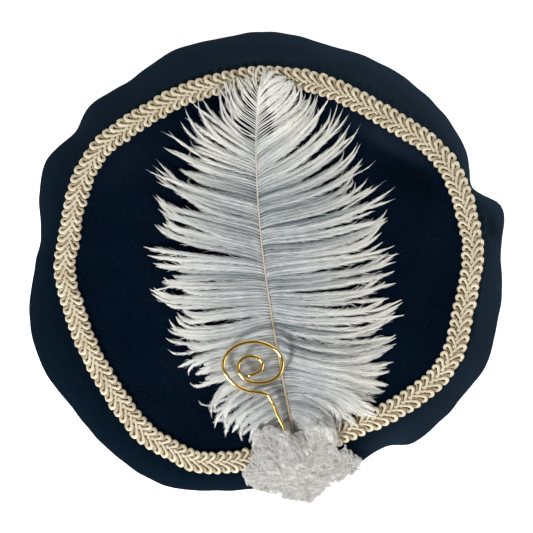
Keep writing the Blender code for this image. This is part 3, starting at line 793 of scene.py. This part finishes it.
def loop_outline(lean, past):
    """One loop of cord along its own axis, from past the middle: distance out, and aside."""
    axis = (BRAID_WIDTH / 2 - LOOP_HOLE - LOOP_INSET) / math.sin(lean)
    round_radius = LOOP_HOLE + CORD / 2
    legs = (LOOP_POINTS - LOOP_POINTS // 3) // 2
    out = np.linspace(-LOOP_ROOT - past / math.sin(lean), axis, legs, endpoint=False)
    opening = np.clip((out / axis - LOOP_NECK) / (1 - LOOP_NECK), 0, 1)
    aside = CORD / 2 + LOOP_HOLE * opening * opening * (3 - 2 * opening)
    turn = np.linspace(-math.pi / 2, math.pi / 2, LOOP_POINTS - 2 * legs)
    p = np.concatenate([out, axis + round_radius * np.cos(turn), out[::-1]])
    q = np.concatenate([-aside, round_radius * np.sin(turn), aside[::-1]])
    return p, q, axis, round_radius


def make_loops(row, ring, cloth, material, random):
    """One row of loops that overlap, each bent along an arc and with one leg higher."""
    name, side, shift, degrees, past, ridge = row
    lean, bend = math.radians(degrees), math.radians(LOOP_BEND)
    p, q, axis, round_radius = loop_outline(lean, past)
    count = round(ring.length / LOOP_PITCH)
    start = (np.arange(count) + shift) * (ring.length / count)
    start = start + random.normal(0, LOOP_SPREADS["place"], count)
    size = 1 + random.normal(0, LOOP_SPREADS["size"], (count, 1))
    first = lean + random.normal(0, LOOP_SPREADS["lean"], (count, 1)) - bend / 2
    heading = first + bend * (p * size) / axis
    along = axis / bend * (np.sin(heading) - np.sin(first)) - q * size * np.sin(heading)
    aside = axis / bend * (np.cos(first) - np.cos(heading)) + q * size * np.cos(heading)
    plan = ring.places(start[:, None] + along - axis * math.cos(lean) / 2, side * aside)

    out = np.clip(p / axis, 0, 1)
    lift = CORD * LOOP_REST[0] + LOOP_ARCH * np.sin(out * math.pi * 0.62)
    lift = lift - LOOP_TILT * q / round_radius + ridge * np.exp(-((p / SPINE_HALF) ** 2))
    lift = np.maximum(lift, CORD * LOOP_REST[1])[None]
    height = cloth.at(plan[..., 0], plan[..., 1]) + GAP + lift
    height += random.normal(0, LOOP_SPREADS["height"], count)[:, None]
    paths = np.concatenate([plan, height[..., None]], -1)
    radii = CORD / 2 * (0.88 + 0.30 * out ** 6) + 0 * height
    points, blocks = sweep(paths, radii, CORD_SIDES, CORD_TWIST, CORD_LAY)
    # Painted shade on the lower leg of each loop, less towards its head.
    painted_depth_shade = np.clip(0.5 + 0.5 * q / round_radius, 0, 1) * (1 - 0.65 * out ** 4) * 0.92
    painted_depth_shade = np.broadcast_to(painted_depth_shade[None, :, None], (count, len(p), CORD_SIDES)).ravel()
    make_piece(name, points, blocks, material, "braid", {"painted_depth_shade": painted_depth_shade})


def make_core(ring, cloth, material):
    """The flat band under the loops."""
    run = np.linspace(0, ring.length, CORE_STATIONS + 1)[:-1]
    asides, rises = np.array(CORE_SECTION).T
    plan = ring.places(run[:, None] + 0 * asides, asides + 0 * run[:, None])
    height = cloth.at(plan[..., 0], plan[..., 1]) + GAP + rises
    low = np.stack([plan[..., 0], plan[..., 1], height - rises - 0.0001], -1)[:, ::-1]
    high = np.stack([plan[..., 0], plan[..., 1], height], -1)
    closed = np.concatenate([high, low], axis=1)
    index = np.arange(closed.shape[0] * closed.shape[1]).reshape(closed.shape[:2])
    faces = faces_between(np.concatenate([index, index[:1]]))
    # Painted shade: the core between the loops is painted almost wholly in the shade colour.
    marks = {"painted_depth_shade": np.full(index.size, 0.95)}
    points = closed.reshape(-1, 3)
    make_piece("braid_core", points, [faces], material, "braid", marks)


def make_braid(ring, cloth, material):
    """Two rows of leaning loops, the inner row after the outer one, over a flat core."""
    random = np.random.default_rng(21)
    for row in LOOP_ROWS:
        make_loops(row, ring, cloth, material, random)
    make_core(ring, cloth, material)


def quill_plan(share):
    """The quill's route in plan at shares of the way up it, and its direction there."""
    poles = np.array(QUILL_POLES) * BRAID_REACH
    s = np.asarray(share, float)[..., None]
    rest = 1 - s
    place = (
        poles[0] * rest ** 3 + poles[1] * 3 * rest * rest * s
        + poles[2] * 3 * rest * s * s + poles[3] * s ** 3
    )
    heading = (
        (poles[1] - poles[0]) * rest * rest + (poles[2] - poles[1]) * 2 * rest * s
        + (poles[3] - poles[2]) * s * s
    )
    return place, unit(heading)


def quill_height(ground, share):
    """How high the quill's middle line runs: on the braid at its ends, near the cloth between."""
    ends = quill_plan(np.array([0.0, 1.0]))[0]
    middle = ends.mean(axis=0)
    on_braid = RIDGE_HEIGHT + BRAID_THICKNESS + 2 * GAP + QUILL_BASE
    on_cloth = float(ground.at(middle[0], middle[1])) + GAP + QUILL_BASE + QUILL_LIFT
    return on_cloth + (on_braid - on_cloth) * np.abs(2 * np.asarray(share) - 1) ** QUILL_SAG_POWER


def feather_material():
    """White barbs with painted light and shade: painted cool shade, a little grey, near the quill,
    painted warm light, creamier, towards their ends, and painted shade on some barbs.
    """
    material, tree, shader = shader_of("white_feather", (0.86, 0.86, 0.85), 0.6, 0.0, 0.3)
    set_inputs(shader, {"Sheen Weight": 0.25})
    patches = ramp_of(tree, noise_of(tree, object_places(tree), Scale=160.0, Detail=2.0), 0.3, 0.7)
    # Painted shade near the quill and painted warm light towards the barbs' ends.
    near = blend_of(tree, patches, (0.541, 0.572, 0.581), (0.703, 0.721, 0.725))
    far = blend_of(tree, mark_of(tree, "outward"), near, (0.98, 0.955, 0.89))
    # Painted shade between the barbs, stronger on some barbs than on others.
    shadow = ramp_of(tree, mark_of(tree, "shade"), 0.15, 1.1)
    toned = blend_of(tree, shadow, far, (0.180, 0.212, 0.234))
    tree.links.new(toned, shader.inputs["Base Color"])
    return material


def quill_material():
    """Smooth horn, tan at the base and paler up the quill."""
    material, tree, shader = shader_of("feather_quill", (0.55, 0.42, 0.25), 0.4)
    blend = blend_of(tree, mark_of(tree, "outward"), (0.50, 0.36, 0.19), (0.80, 0.76, 0.66))
    tree.links.new(blend, shader.inputs["Base Color"])
    return material


def up_quill(side, what, places):
    """A value of one side, or of both, at shares of the way up the quill."""
    return np.interp(places, *UP_QUILL[side][what])


def barb_roots(side, first, random):
    """Where the barbs of one side leave the quill, as shares of the way up it."""
    poles = np.array(QUILL_POLES) * BRAID_REACH
    whole = np.linalg.norm(np.diff(poles, axis=0), axis=1).sum()
    share, roots = first, []
    while share < LAST_ROOT:
        roots.append(share)
        pitch = BARB_PITCH[0] + (BARB_PITCH[1] - BARB_PITCH[0]) * max(share, 0)
        pitch *= float(up_quill(side, "pitch", share))
        share += pitch / whole * (1 + random.normal(0, 0.06))
    return np.array(roots)


def barb_aims(side, table, random):
    """Each barb's root, lock and place across it, and the middle and the tip of its route."""
    centres = table[:, 0]
    first = centres[0] - ROOTS_BEFORE
    roots = barb_roots(side, first, random)
    edges = (centres[1:] + centres[:-1]) / 2
    lock = np.searchsorted(edges + random.normal(0, 0.0015, len(edges)), roots)
    low = np.concatenate([[first], edges])[lock]
    high = np.concatenate([edges, [LAST_ROOT]])[lock]
    across = 2 * (roots - low) / (high - low) - 1
    even = smooth_curve(centres, table[:, 1:], np.clip(roots, centres[0], centres[-1]))
    closed = up_quill(side, "pull", roots)
    middle = even[:, :2] + (table[lock, 1:3] - even[:, :2]) * (LOCK_PULL[0] * closed)[:, None]
    pull = LOCK_PULL[1] * closed * (1 - 0.40 * up_quill(side, "full", roots))
    chance = random.random(len(roots)) / CROSS_CHANCE
    other = lock + np.where(chance < 0.5, -1, np.where(chance < 1, 1, 0))
    other = np.clip(other, 0, len(centres) - 1)
    tip = even[:, 2:] + (table[other, 3:5] - even[:, 2:]) * pull[:, None]
    return roots, lock, across, middle, tip


def barb_paths(side, rows, strays, ground, random):
    """Every barb of one side: its path, its root's share up the quill, its length and shade."""
    table, loose = np.array(rows, float), np.array(strays, float)
    roots, lock, across, middle, tip = barb_aims(side, table, random)
    roots = np.concatenate([roots, loose[:, 0]])
    across = np.concatenate([across, 0 * loose[:, 0]])[:, None]
    lock = np.concatenate([lock, len(table) + np.arange(len(loose))])
    middle = np.concatenate([middle, loose[:, 1:3]]) * BRAID_REACH
    tip = np.concatenate([tip, loose[:, 3:5]]) * BRAID_REACH
    lock_arch, lock_sway = random.random((lock.max() + 1, 4))[lock][:, 1:3].T[..., None]
    cut, aim, sway_by, curl_by, lift, bow, dark = random.random((len(roots), 7)).T
    clump = np.cumsum(random.random(len(roots)) < CLUMP_CHANCE)
    clump_cut, clump_aim, clump_bow, clump_dark = random.random((clump.max() + 1, 4))[clump].T

    root, heading = quill_plan(roots)
    axis = unit(tip - middle)
    aside = np.stack([-axis[:, 1], axis[:, 0]], -1)
    length = np.linalg.norm(tip - middle, axis=1) + np.linalg.norm(middle - root, axis=1)
    size = np.clip(length / LONG_BARB, 0.12, 1)
    short = length * (0.26 * cut ** 3 + 0.10 * clump_cut ** 2 - 0.04)
    short = short * up_quill("both", "short", roots)
    downy = up_quill(side, "downy", roots)
    short = short + length * downy * (0.24 * cut - 0.07)
    short[-len(loose):] = 0
    stray = (aim - 0.5) * (TIP_STRAY[0] + 0.0060 * downy) + (clump_aim - 0.5) * TIP_STRAY[1]
    tip = tip - axis * short[:, None] + aside * (stray * size)[:, None]
    stray = (bow - 0.5) * MIDDLE_STRAY[0] + (clump_bow - 0.5) * MIDDLE_STRAY[1]
    middle = middle + aside * (stray * size)[:, None]

    s = np.linspace(0, 1, BARB_POINTS)[None, :, None]
    bent = 2 * middle - (root + tip) / 2
    plan = root[:, None] * (1 - s) ** 2 + bent[:, None] * 2 * s * (1 - s) + tip[:, None] * s * s
    hook = (1 - np.exp(-s * length[:, None, None] / HOOK_RUN)) - s
    plan = plan + heading[:, None] * hook * (BARB_HOOK * size)[:, None, None]
    s = s[..., 0]
    size = size[:, None]
    sway = 0.0010 * np.sin(2 * math.pi * (0.9 * s + lock_sway))
    sway = sway + 0.0006 * np.sin(2 * math.pi * (1.9 * s + sway_by[:, None]))
    upwards = 0.16 + 0.34 * up_quill(side, "full", roots)[:, None]
    upwards = np.where(axis[:, :1] > 0, upwards, -upwards)
    curl = np.clip((s - 0.70) / 0.30, 0, 1) ** 2 * (curl_by[:, None] - 0.5 + upwards) * BARB_CURL
    plan = plan + aside[:, None] * ((sway * s * s + curl) * size)[..., None]

    base = quill_height(ground, roots)[:, None]
    rest_height = ground.at(plan[:, -1, 0], plan[:, -1, 1])[:, None] + 0.0009
    arch = LOCK_ARCH * (0.45 + 0.75 * lock_arch) * size
    height = base + (rest_height - base) * s ** 2 + arch * np.sin(math.pi * s)
    height = height + 0.0010 * (1 - across * across) * s * (1 - s) * 4
    height = height + 0.0008 * (lift[:, None] - 0.5) * np.minimum(s * 4, 1)
    height = np.maximum(height, ground.at(plan[..., 0], plan[..., 1]) + 2 * GAP)
    # Painted shade, drawn at random by barb and by clump.
    shade = 0.25 * clump_dark ** 2 + 0.75 * dark ** 2
    shade[-len(loose):] = 0
    return np.concatenate([plan, height[..., None]], -1), roots, length, shade


def read_path(values, which, t):
    """Values along paths, read for chosen paths at shares of their length."""
    place = np.clip(t, 0, 1) * (values.shape[1] - 1)
    i = np.minimum(place.astype(int), values.shape[1] - 2)
    part = (place - i)[..., None]
    return values[which, i] * (1 - part) + values[which, i + 1] * part


def colour_marks(t, roots, shade):
    """The marks for painted warm light, from shares of the way out along barbs, and for painted
    shade, less where the warm light is painted.
    """
    outward = np.clip(t * 1.25 - 0.15 + up_quill("both", "cream", roots)[:, None], 0, 1)
    return outward, shade[:, None] * (1.2 - 0.7 * outward)


def strands_along(barbs, which, habit, ground, random):
    """Fine strands that leave chosen barbs and run on beside them. Their habit says at what share
    of the barb they leave, how far they run, how wide they part and with what share at once, how
    they drop and curl, over what share they close at the barb's tail, and how blunt that stays."""
    paths, roots, length, shade = barbs
    count = len(which)
    habit = {name: np.broadcast_to(value, count)[:, None] for name, value in habit.items()}
    x = np.array(STRAND_STATIONS)[None]
    t = habit["at"] + habit["run"] * x / length[which][:, None]
    t = np.minimum(t, 0.97 + 0.03 * x)
    tangent = unit(np.gradient(paths, axis=1))
    beside = np.stack([tangent[..., 1], -tangent[..., 0], 0 * tangent[..., 0]], -1)
    middle = read_path(paths, which[:, None], t)
    across = read_path(beside, which[:, None], t)
    away = habit["start"] + (1 - habit["start"]) * x ** 0.8
    curl = habit["curl"] * np.sin(2 * math.pi * (x + random.random((count, 1)))) * x
    closing = np.maximum(np.clip((1 - t) / habit["tail"], 0, 1), habit["blunt"])
    strands = middle + across * ((habit["wide"] * away + curl) * closing)[..., None]
    lift = (random.random((count, 1)) - 0.5) * 0.0010 * x
    lift = lift - habit["drop"] * np.abs(habit["wide"]) * away
    floor = ground.at(strands[..., 0], strands[..., 1]) + GAP
    strands[..., 2] = np.maximum(strands[..., 2] + lift, floor)
    widths = BARBULE_WIDTH * about_one(random, (count, 1)) * (1 - 0.5 * x)
    points, blocks = ribbons(strands, widths, random.normal(0, 0.45, count))
    tone = np.clip(shade[which] + random.normal(0, 0.12, count), 0, 1)
    outward, tone = colour_marks(along_ribbons(t), roots[which], tone)
    return points, blocks, {"outward": outward.ravel(), "shade": tone.ravel()}


def barb_tubes(barbs, random):
    """The barbs themselves, thinner towards their ends."""
    paths, roots, _, shade = barbs
    count, steps = paths.shape[:2]
    s = np.linspace(0, 1, steps)[None]
    thick = BARB_RADIUS * (1.0 - 0.45 * s) * np.clip((1.02 - s) / 0.25, 0.18, 1)
    thick = thick * (0.85 + 0.3 * random.random((count, 1)))
    thick = thick * up_quill("both", "thick", roots)[:, None]
    points, blocks = sweep(paths, thick, BARB_SIDES)
    outward, tone = colour_marks(s, roots, shade)
    marks = {"outward": outward, "shade": tone}
    return points, blocks, {mark: values.repeat(BARB_SIDES) for mark, values in marks.items()}


def barbules(side, barbs, strays, ground, random):
    """The long barbules all along the barbs, few on the stray ones."""
    _, roots, length, _ = barbs
    weight = length * up_quill(side, "cover", roots)
    weight = weight * (1 - 0.3 * up_quill(side, "downy", roots))
    weight[-strays:] *= 0.25
    which = random.choice(len(roots), BARBULES, p=weight / weight.sum())
    up = roots[which]
    bare, near = up_quill("both", "bare", up), up_quill("both", "near", up)
    full, downy = up_quill(side, "full", up), up_quill(side, "downy", up)
    at = bare + (0.90 + 0.06 * full - bare) * random.random(BARBULES)
    grow = np.clip((at - bare) / 0.12, 0, 1)
    grow = grow * np.clip((1.0 - at) / (0.26 - 0.14 * full), 0.10, 1)
    run = BARBULE * (0.45 + 0.55 * grow) * about_one(random, BARBULES)
    sign = either_side(random, BARBULES)
    far = np.interp(at, *SPREAD_OUT)
    far = far + (1.0 - far) * 0.9 * full
    strays_out = random.random(BARBULES) < 0.10 + 0.25 * downy
    loose = np.where(strays_out, 1.5 + 1.2 * random.random(BARBULES), 1.0)
    wide = BARBULE_SPREAD * up_quill(side, "spread", up) * far * loose * (near + (1 - near) * grow)
    habit = {
        "at": at,
        "run": np.minimum(run, length[which] * 0.30),
        "wide": wide * (0.3 + random.random(BARBULES)) * sign,
        "start": 0.6 * np.clip(1 - at / 0.10, 0, 1) * np.clip((0.86 - up) / 0.08, 0, 1),
        "drop": 0.42 - 0.20 * np.clip(at / 0.5, 0, 1),
        "curl": 0.00005 + 0.0014 * downy,
        "tail": 0.16 - 0.06 * full,
        "blunt": np.maximum(0.12, 0.42 * downy),
    }
    return strands_along(barbs, which, habit, ground, random)


def down(side, barbs, strays, ground, random):
    """The down under the barbs' inner parts, none on the stray ones."""
    _, roots, length, _ = barbs
    weight = length * up_quill("both", "down", roots)
    weight[-strays:] = 0
    which = random.choice(len(roots), DOWN, p=weight / weight.sum())
    up = roots[which]
    at = 0.62 * random.random(DOWN) ** 1.3 - 0.01
    run = np.minimum(BARBULE * about_one(random, DOWN), length[which] * 0.35)
    sign = either_side(random, DOWN)
    wide = DOWN_SPREAD * (0.35 + random.random(DOWN)) * sign
    habit = {
        "at": at,
        "run": run,
        "wide": wide * up_quill(side, "down_spread", up),
        "start": np.clip(0.9 - at / 0.25, 0, 0.9),
        "drop": 0.55,
        "curl": up_quill("both", "down_curl", up),
        "tail": 0.16,
        "blunt": 0.5,
    }
    return strands_along(barbs, which, habit, ground, random)


def make_vane(side, rows, strays, ground, material, seed):
    """One side of the feather: barbs with long barbules along them, and down between them."""
    random = np.random.default_rng(seed)
    barbs = barb_paths(side, rows, strays, ground, random)
    tubes = barb_tubes(barbs, random)
    silk = barbules(side, barbs, len(strays), ground, random)
    parts = {"_barbs": joined([tubes, silk])}
    parts["_down"] = down(side, barbs, len(strays), ground, random)
    for name, (points, blocks, marks) in parts.items():
        make_piece(side + name, points, blocks, material, "feather", marks)


def make_quill(ground):
    """The shown quill, from under the star to the feather's tip."""
    shares = np.linspace(0, 1, QUILL_STATIONS)
    height = quill_height(ground, shares) + 0.0002
    path = np.concatenate([quill_plan(shares)[0], height[:, None]], -1)
    first, heading = quill_plan(np.array([0.0]))
    hidden = first - heading * QUILL_TUCK
    path = np.concatenate([[[*hidden[0], height[0]]], path])[None]
    run = np.arange(QUILL_STATIONS + 1) / QUILL_STATIONS
    sides = 10
    points, blocks = sweep(path, np.interp(run, (0, 1), QUILL_SHOWN)[None], sides)
    marks = {"outward": np.repeat(np.clip(run * 1.15, 0, 1), sides)}
    make_piece("quill", points, blocks, quill_material(), "feather", marks)


def gold_material():
    """Polished gold wire with faint scratches."""
    material, tree, shader = shader_of("gold_wire", (0.88, 0.62, 0.21), 0.12, 1.0)
    scratches = noise_of(tree, object_places(tree), Scale=700.0, Detail=3.0)
    rough = ramp_of(tree, scratches, 0.0, 1.0, 0.06, 0.17)
    tree.links.new(rough, shader.inputs["Roughness"])
    bump_on(tree, shader, scratches, 0.02, 0.0002)
    return material


def make_pin():
    """The wire from under the star up its stem and round the spiral, as high as its solid."""
    heading = quill_plan(np.array([0.0]))[1][0]
    stem = np.array(PIN_STEM) * BRAID_REACH
    hidden = stem[-1] - heading * PIN_TUCK
    turns = np.array(SPIRAL_TURNS)[::-1]
    angles = np.arange(SPIRAL_TURNS[0][0], SPIRAL_TURNS[-1][0] - 1, -15.0)
    reach = SPIRAL_REACH * smooth_curve(turns[:, 0], turns[:, 1], angles)
    turn = np.radians(angles)
    spiral = np.stack([np.cos(turn), np.sin(turn) * SPIRAL_SQUASH], -1) * reach[:, None]
    spiral += np.array(SPIRAL_CENTRE) * BRAID_REACH
    route = np.concatenate([[hidden], stem[::-1], spiral])
    keys = np.concatenate([[0], np.linalg.norm(np.diff(route, axis=0), axis=1).cumsum()])
    fine = np.linspace(0, keys[-1], 330)
    plan = smooth_curve(keys, route, fine)
    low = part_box("spiral_pin")[0].z + WIRE / 2
    start = stem[-1][1]
    rise = PIN_RISE * np.clip((plan[:, 1] - start) / (route[:, 1].max() - start), 0, None)
    path = np.concatenate([plan, (low + rise)[:, None]], -1)[None]
    radii = np.full((1, len(fine)), WIRE / 2)
    radii[0, -4:] *= (0.96, 0.90, 0.78, 0.50)
    points, blocks = sweep(path, radii, 18)
    return make_piece("pin_wire", points, blocks, gold_material(), "spiral_pin")


def star_reach(angles):
    """The star's reach by angle in degrees, its points and notches joined by straight runs."""
    rows = []
    for tip_angle, tip, notch_angle, notch in STAR_POINTS:
        rows += [(tip_angle, tip), (notch_angle, notch)]
    rows.append((rows[0][0] + 360, rows[0][1]))
    keys, values = zip(*rows)
    wrapped = (np.asarray(angles) - keys[0]) % 360 + keys[0]
    return np.interp(wrapped, keys, values)


def plush_material():
    """Off-white curly pile, with painted shade, warmer and greyer, low in the pile."""
    material, tree, shader = shader_of("white_plush", (0.80, 0.79, 0.76), 0.85, 0.0, 0.15)
    set_inputs(shader, {"Sheen Weight": 0.2})
    places = object_places(tree)
    patches = ramp_of(tree, noise_of(tree, places, Scale=150.0, Detail=3.0), 0.35, 0.65)
    lit = blend_of(tree, patches, (0.595, 0.572, 0.541), (0.712, 0.698, 0.676))
    painted_depth_shade = blend_of(tree, mark_of(tree, "painted_depth_shade"), lit, (0.468, 0.437, 0.396))
    tree.links.new(painted_depth_shade, shader.inputs["Base Color"])
    bump_on(tree, shader, noise_of(tree, places, Scale=1500.0, Detail=2.0), 0.4, 0.0003)
    return material


def make_star(material):
    """A bumpy pad over the star's solid, with curled strands all over it and round its edge."""
    node = bpy.data.objects["star_patch"]
    top = Ground([node.data])
    centre = np.array(STAR_CENTRE) * BRAID_REACH
    count, rings = STAR_STATIONS, STAR_RINGS
    angles = np.arange(count) * 360 / count
    turn = np.radians(angles)
    mean = star_reach(np.arange(0, 360, 1.0)).mean()
    shares = np.linspace(0, 1, rings + 1)[1:, None]
    reach = STAR_REACH * shares * (mean + (star_reach(angles) - mean) * shares)
    x = centre[0] + reach * np.cos(turn)
    y = centre[1] + reach * np.sin(turn)
    inside = np.minimum(shares, 0.96)
    reach_in = STAR_REACH * inside * (mean + (star_reach(angles) - mean) * inside)
    height = top.at(centre[0] + reach_in * np.cos(turn), centre[1] + reach_in * np.sin(turn))
    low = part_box("star_patch")[0].z
    height = np.maximum(height, low)
    bumps = sum(rise * waves(x, y, size, seed) for rise, size, seed in PAD_BUMPS)
    high = height + bumps * np.clip((1 - shares) / 0.1, 0.3, 1) - 0.0004
    thick = STAR_THICKNESS * np.sqrt(np.clip(1 - shares ** 6, 0.04, 1))
    under = np.minimum(height - thick, high - 0.0006)
    over = np.stack([x, y, high], -1)
    below = np.stack([x, y, under], -1)[::-1]
    grid = np.concatenate([over, below])
    first = [[centre[0], centre[1], over[0, :, 2].mean()]]
    last = [[centre[0], centre[1], below[-1, :, 2].mean()]]
    points = np.concatenate([first, grid.reshape(-1, 3), last])
    blocks = grid_faces(2 * rings, count)
    ends = 1 + (2 * rings - 1) * count + np.arange(count)
    blocks.append(np.stack([np.full(count, len(points) - 1), np.roll(ends, -1), ends], -1))
    # Painted shade on the pad, which lies under the tufts.
    marks = {"painted_depth_shade": np.full(len(points), 0.35)}
    pad = make_piece("star_pad", points, blocks, material, "star_patch", marks)
    make_tufts(centre, top, low, material)


def make_tufts(centre, top, low, material):
    """Wavy tufts of the pile: a few strands side by side that curve together."""
    random = np.random.default_rng(33)
    spots = (random.random((9 * STAR_TUFTS, 2)) * 2 - 1) * 1.2 * STAR_REACH
    way = np.degrees(np.arctan2(spots[:, 1], spots[:, 0]))
    spots = spots[np.hypot(*spots.T) < STAR_REACH * star_reach(way) - TUFT_INSET][:STAR_TUFTS]
    way = (np.arange(EDGE_TUFTS) + random.random(EDGE_TUFTS)) * 360 / EDGE_TUFTS
    out = STAR_REACH * star_reach(way) - TUFT_INSET - 0.0018 * (np.sin(np.radians(way)) > 0.25)
    rim = np.stack([np.cos(np.radians(way)), np.sin(np.radians(way))], -1)
    heading = random.random(len(spots)) * 2 * math.pi
    heading = np.concatenate([heading, np.radians(way) + random.normal(0, 0.9, EDGE_TUFTS)])
    inner = centre + np.concatenate([spots, rim * (out - 0.0020)[:, None]])
    spots = centre + np.concatenate([spots, rim * out[:, None]])
    count = len(spots)

    s = np.linspace(-0.5, 0.5, TUFT_POINTS)[None]
    length = TUFT_LENGTH * about_one(random, (count, 1))
    bend = (2.2 + 4.2 * random.random((count, 1))) * either_side(random, (count, 1))
    wave = random.normal(0, 0.7, (count, 1))
    facing = heading[:, None] + bend * s + wave * np.sin(2 * math.pi * s)
    step = length * (s[0, 1] - s[0, 0])
    middle = np.stack([np.cos(facing) * step, np.sin(facing) * step], -1).cumsum(axis=1)
    middle += spots[:, None] - middle.mean(axis=1, keepdims=True)
    beside = np.stack([-np.sin(facing), np.cos(facing)], -1)
    level = np.maximum(top.at(inner[:, 0], inner[:, 1]), low + 0.6 * STAR_THICKNESS)
    level = level[:, None] + 0.0004 * random.random((count, 1)) - 0.0001
    level = level - np.repeat([0.0, 0.0010], [count - EDGE_TUFTS, EDGE_TUFTS])[:, None]
    paths, widths, painted_depth_shade = [], [], []
    for strand in range(TUFT_STRANDS):
        place = strand - (TUFT_STRANDS - 1) / 2
        aside = TUFT_SPREAD * (place + random.normal(0, 1.0, (count, 1))) * np.cos(math.pi * s * 0.7)
        plan = middle + beside * aside[..., None]
        drop = 0.0004 * (2 * s) ** 2 + 0.00020 * (aside / (TUFT_SPREAD * TUFT_STRANDS / 2)) ** 2
        rise = level - drop + random.normal(0, 0.00022, (count, 1))
        paths.append(np.concatenate([plan, rise[..., None]], -1))
        widths.append(STRAND * about_one(random, (count, 1)) * (1 - 0.6 * (2 * s) ** 2))
        # Painted shade towards the strands' ends, where they dip into the pile.
        painted_depth_shade.append(along_ribbons((2 * s) ** 2 * 0.3 + 0 * length))
    roll = random.normal(0, 0.25, count * TUFT_STRANDS)
    points, blocks = ribbons(np.concatenate(paths), np.concatenate(widths), roll)
    marks = {"painted_depth_shade": np.concatenate(painted_depth_shade).ravel()}
    make_piece("star_tufts", points, blocks, material, "star_patch", marks)


def make_floor():
    """The plain pale floor that the beret lies on."""
    bpy.ops.mesh.primitive_plane_add(size=30.0, location=(0, 0, 0))
    floor = bpy.context.object
    floor.name = "floor"
    material, _, shader = shader_of("floor", (0.9, 0.9, 0.9), 0.9, 0.0, 0.1)
    set_inputs(shader, {"Emission Color": (1.0, 1.0, 1.0, 1.0), "Emission Strength": 1.0})
    floor.data.materials.append(material)


def make_area(name, azimuth, elevation, distance, size, power, colour):
    """A square lamp that faces the beret, at an azimuth anticlockwise from +X."""
    lamp = bpy.data.lights.new(name, "AREA")
    lamp.size = size
    lamp.energy = power
    lamp.color = colour
    thing = bpy.data.objects.new(name, lamp)
    turn, rise = math.radians(azimuth), math.radians(elevation)
    away = Vector((math.cos(turn) * math.cos(rise), math.sin(turn) * math.cos(rise), math.sin(rise)))
    thing.location = away * distance
    thing.rotation_mode = "QUATERNION"
    thing.rotation_quaternion = away.to_track_quat("Z", "Y")
    bpy.context.scene.collection.objects.link(thing)


def make_light():
    """Three square lamps, and a pale world that is darker overhead."""
    for lamp in LAMPS:
        make_area(*lamp)
    world = bpy.data.worlds.new("studio")
    bpy.context.scene.world = world
    world.use_nodes = True
    tree = world.node_tree
    back = tree.nodes["Background"]
    around = tree.nodes.new("ShaderNodeTexCoord")
    split = tree.nodes.new("ShaderNodeSeparateXYZ")
    tree.links.new(around.outputs["Generated"], split.inputs["Vector"])
    amount = ramp_of(tree, split.outputs["Z"], 0.05, 0.75)
    sky = blend_of(tree, amount, (1.0, 1.0, 1.0), (0.10, 0.10, 0.105))
    tree.links.new(sky, back.inputs["Color"])
    back.inputs["Strength"].default_value = 0.89


def make_camera():
    """A camera with a long lens, straight above the beret."""
    data = bpy.data.cameras.new("camera")
    data.sensor_width = SENSOR
    data.lens = SENSOR * (CAMERA_PLACE[2] - CAMERA_PLANE) / CAMERA_SEES
    data.clip_start, data.clip_end = 0.1, 60.0
    camera = bpy.data.objects.new("camera", data)
    camera.location = CAMERA_PLACE
    bpy.context.scene.collection.objects.link(camera)
    bpy.context.scene.camera = camera


def main():
    for thing in list(bpy.data.objects):
        bpy.data.objects.remove(thing, do_unlink=True)
    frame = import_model()
    make_camera()
    make_light()
    make_floor()
    cloth_piece = make_crown_cloth()
    cloth = Ground([cloth_piece.data])
    ground = Ground([cloth_piece.data, frame["nodes"]["braid"].data])
    ground.heights += np.where(ground.heights > cloth.heights + CLOTH / 4, LOOPS_ABOVE, 0)
    make_braid(Ring(), cloth, cord_material())
    barbs = feather_material()
    make_vane("left", LEFT_LOCKS, LEFT_STRAYS, ground, barbs, 41)
    with_star = Ground([frame["nodes"]["star_patch"].data])
    with_star.heights = np.maximum(with_star.heights, ground.heights)
    make_vane("right", RIGHT_LOCKS, RIGHT_STRAYS, with_star, barbs, 42)
    make_quill(ground)
    make_pin()
    make_star(plush_material())
    bpy.context.scene.view_settings.view_transform = "Standard"


main()
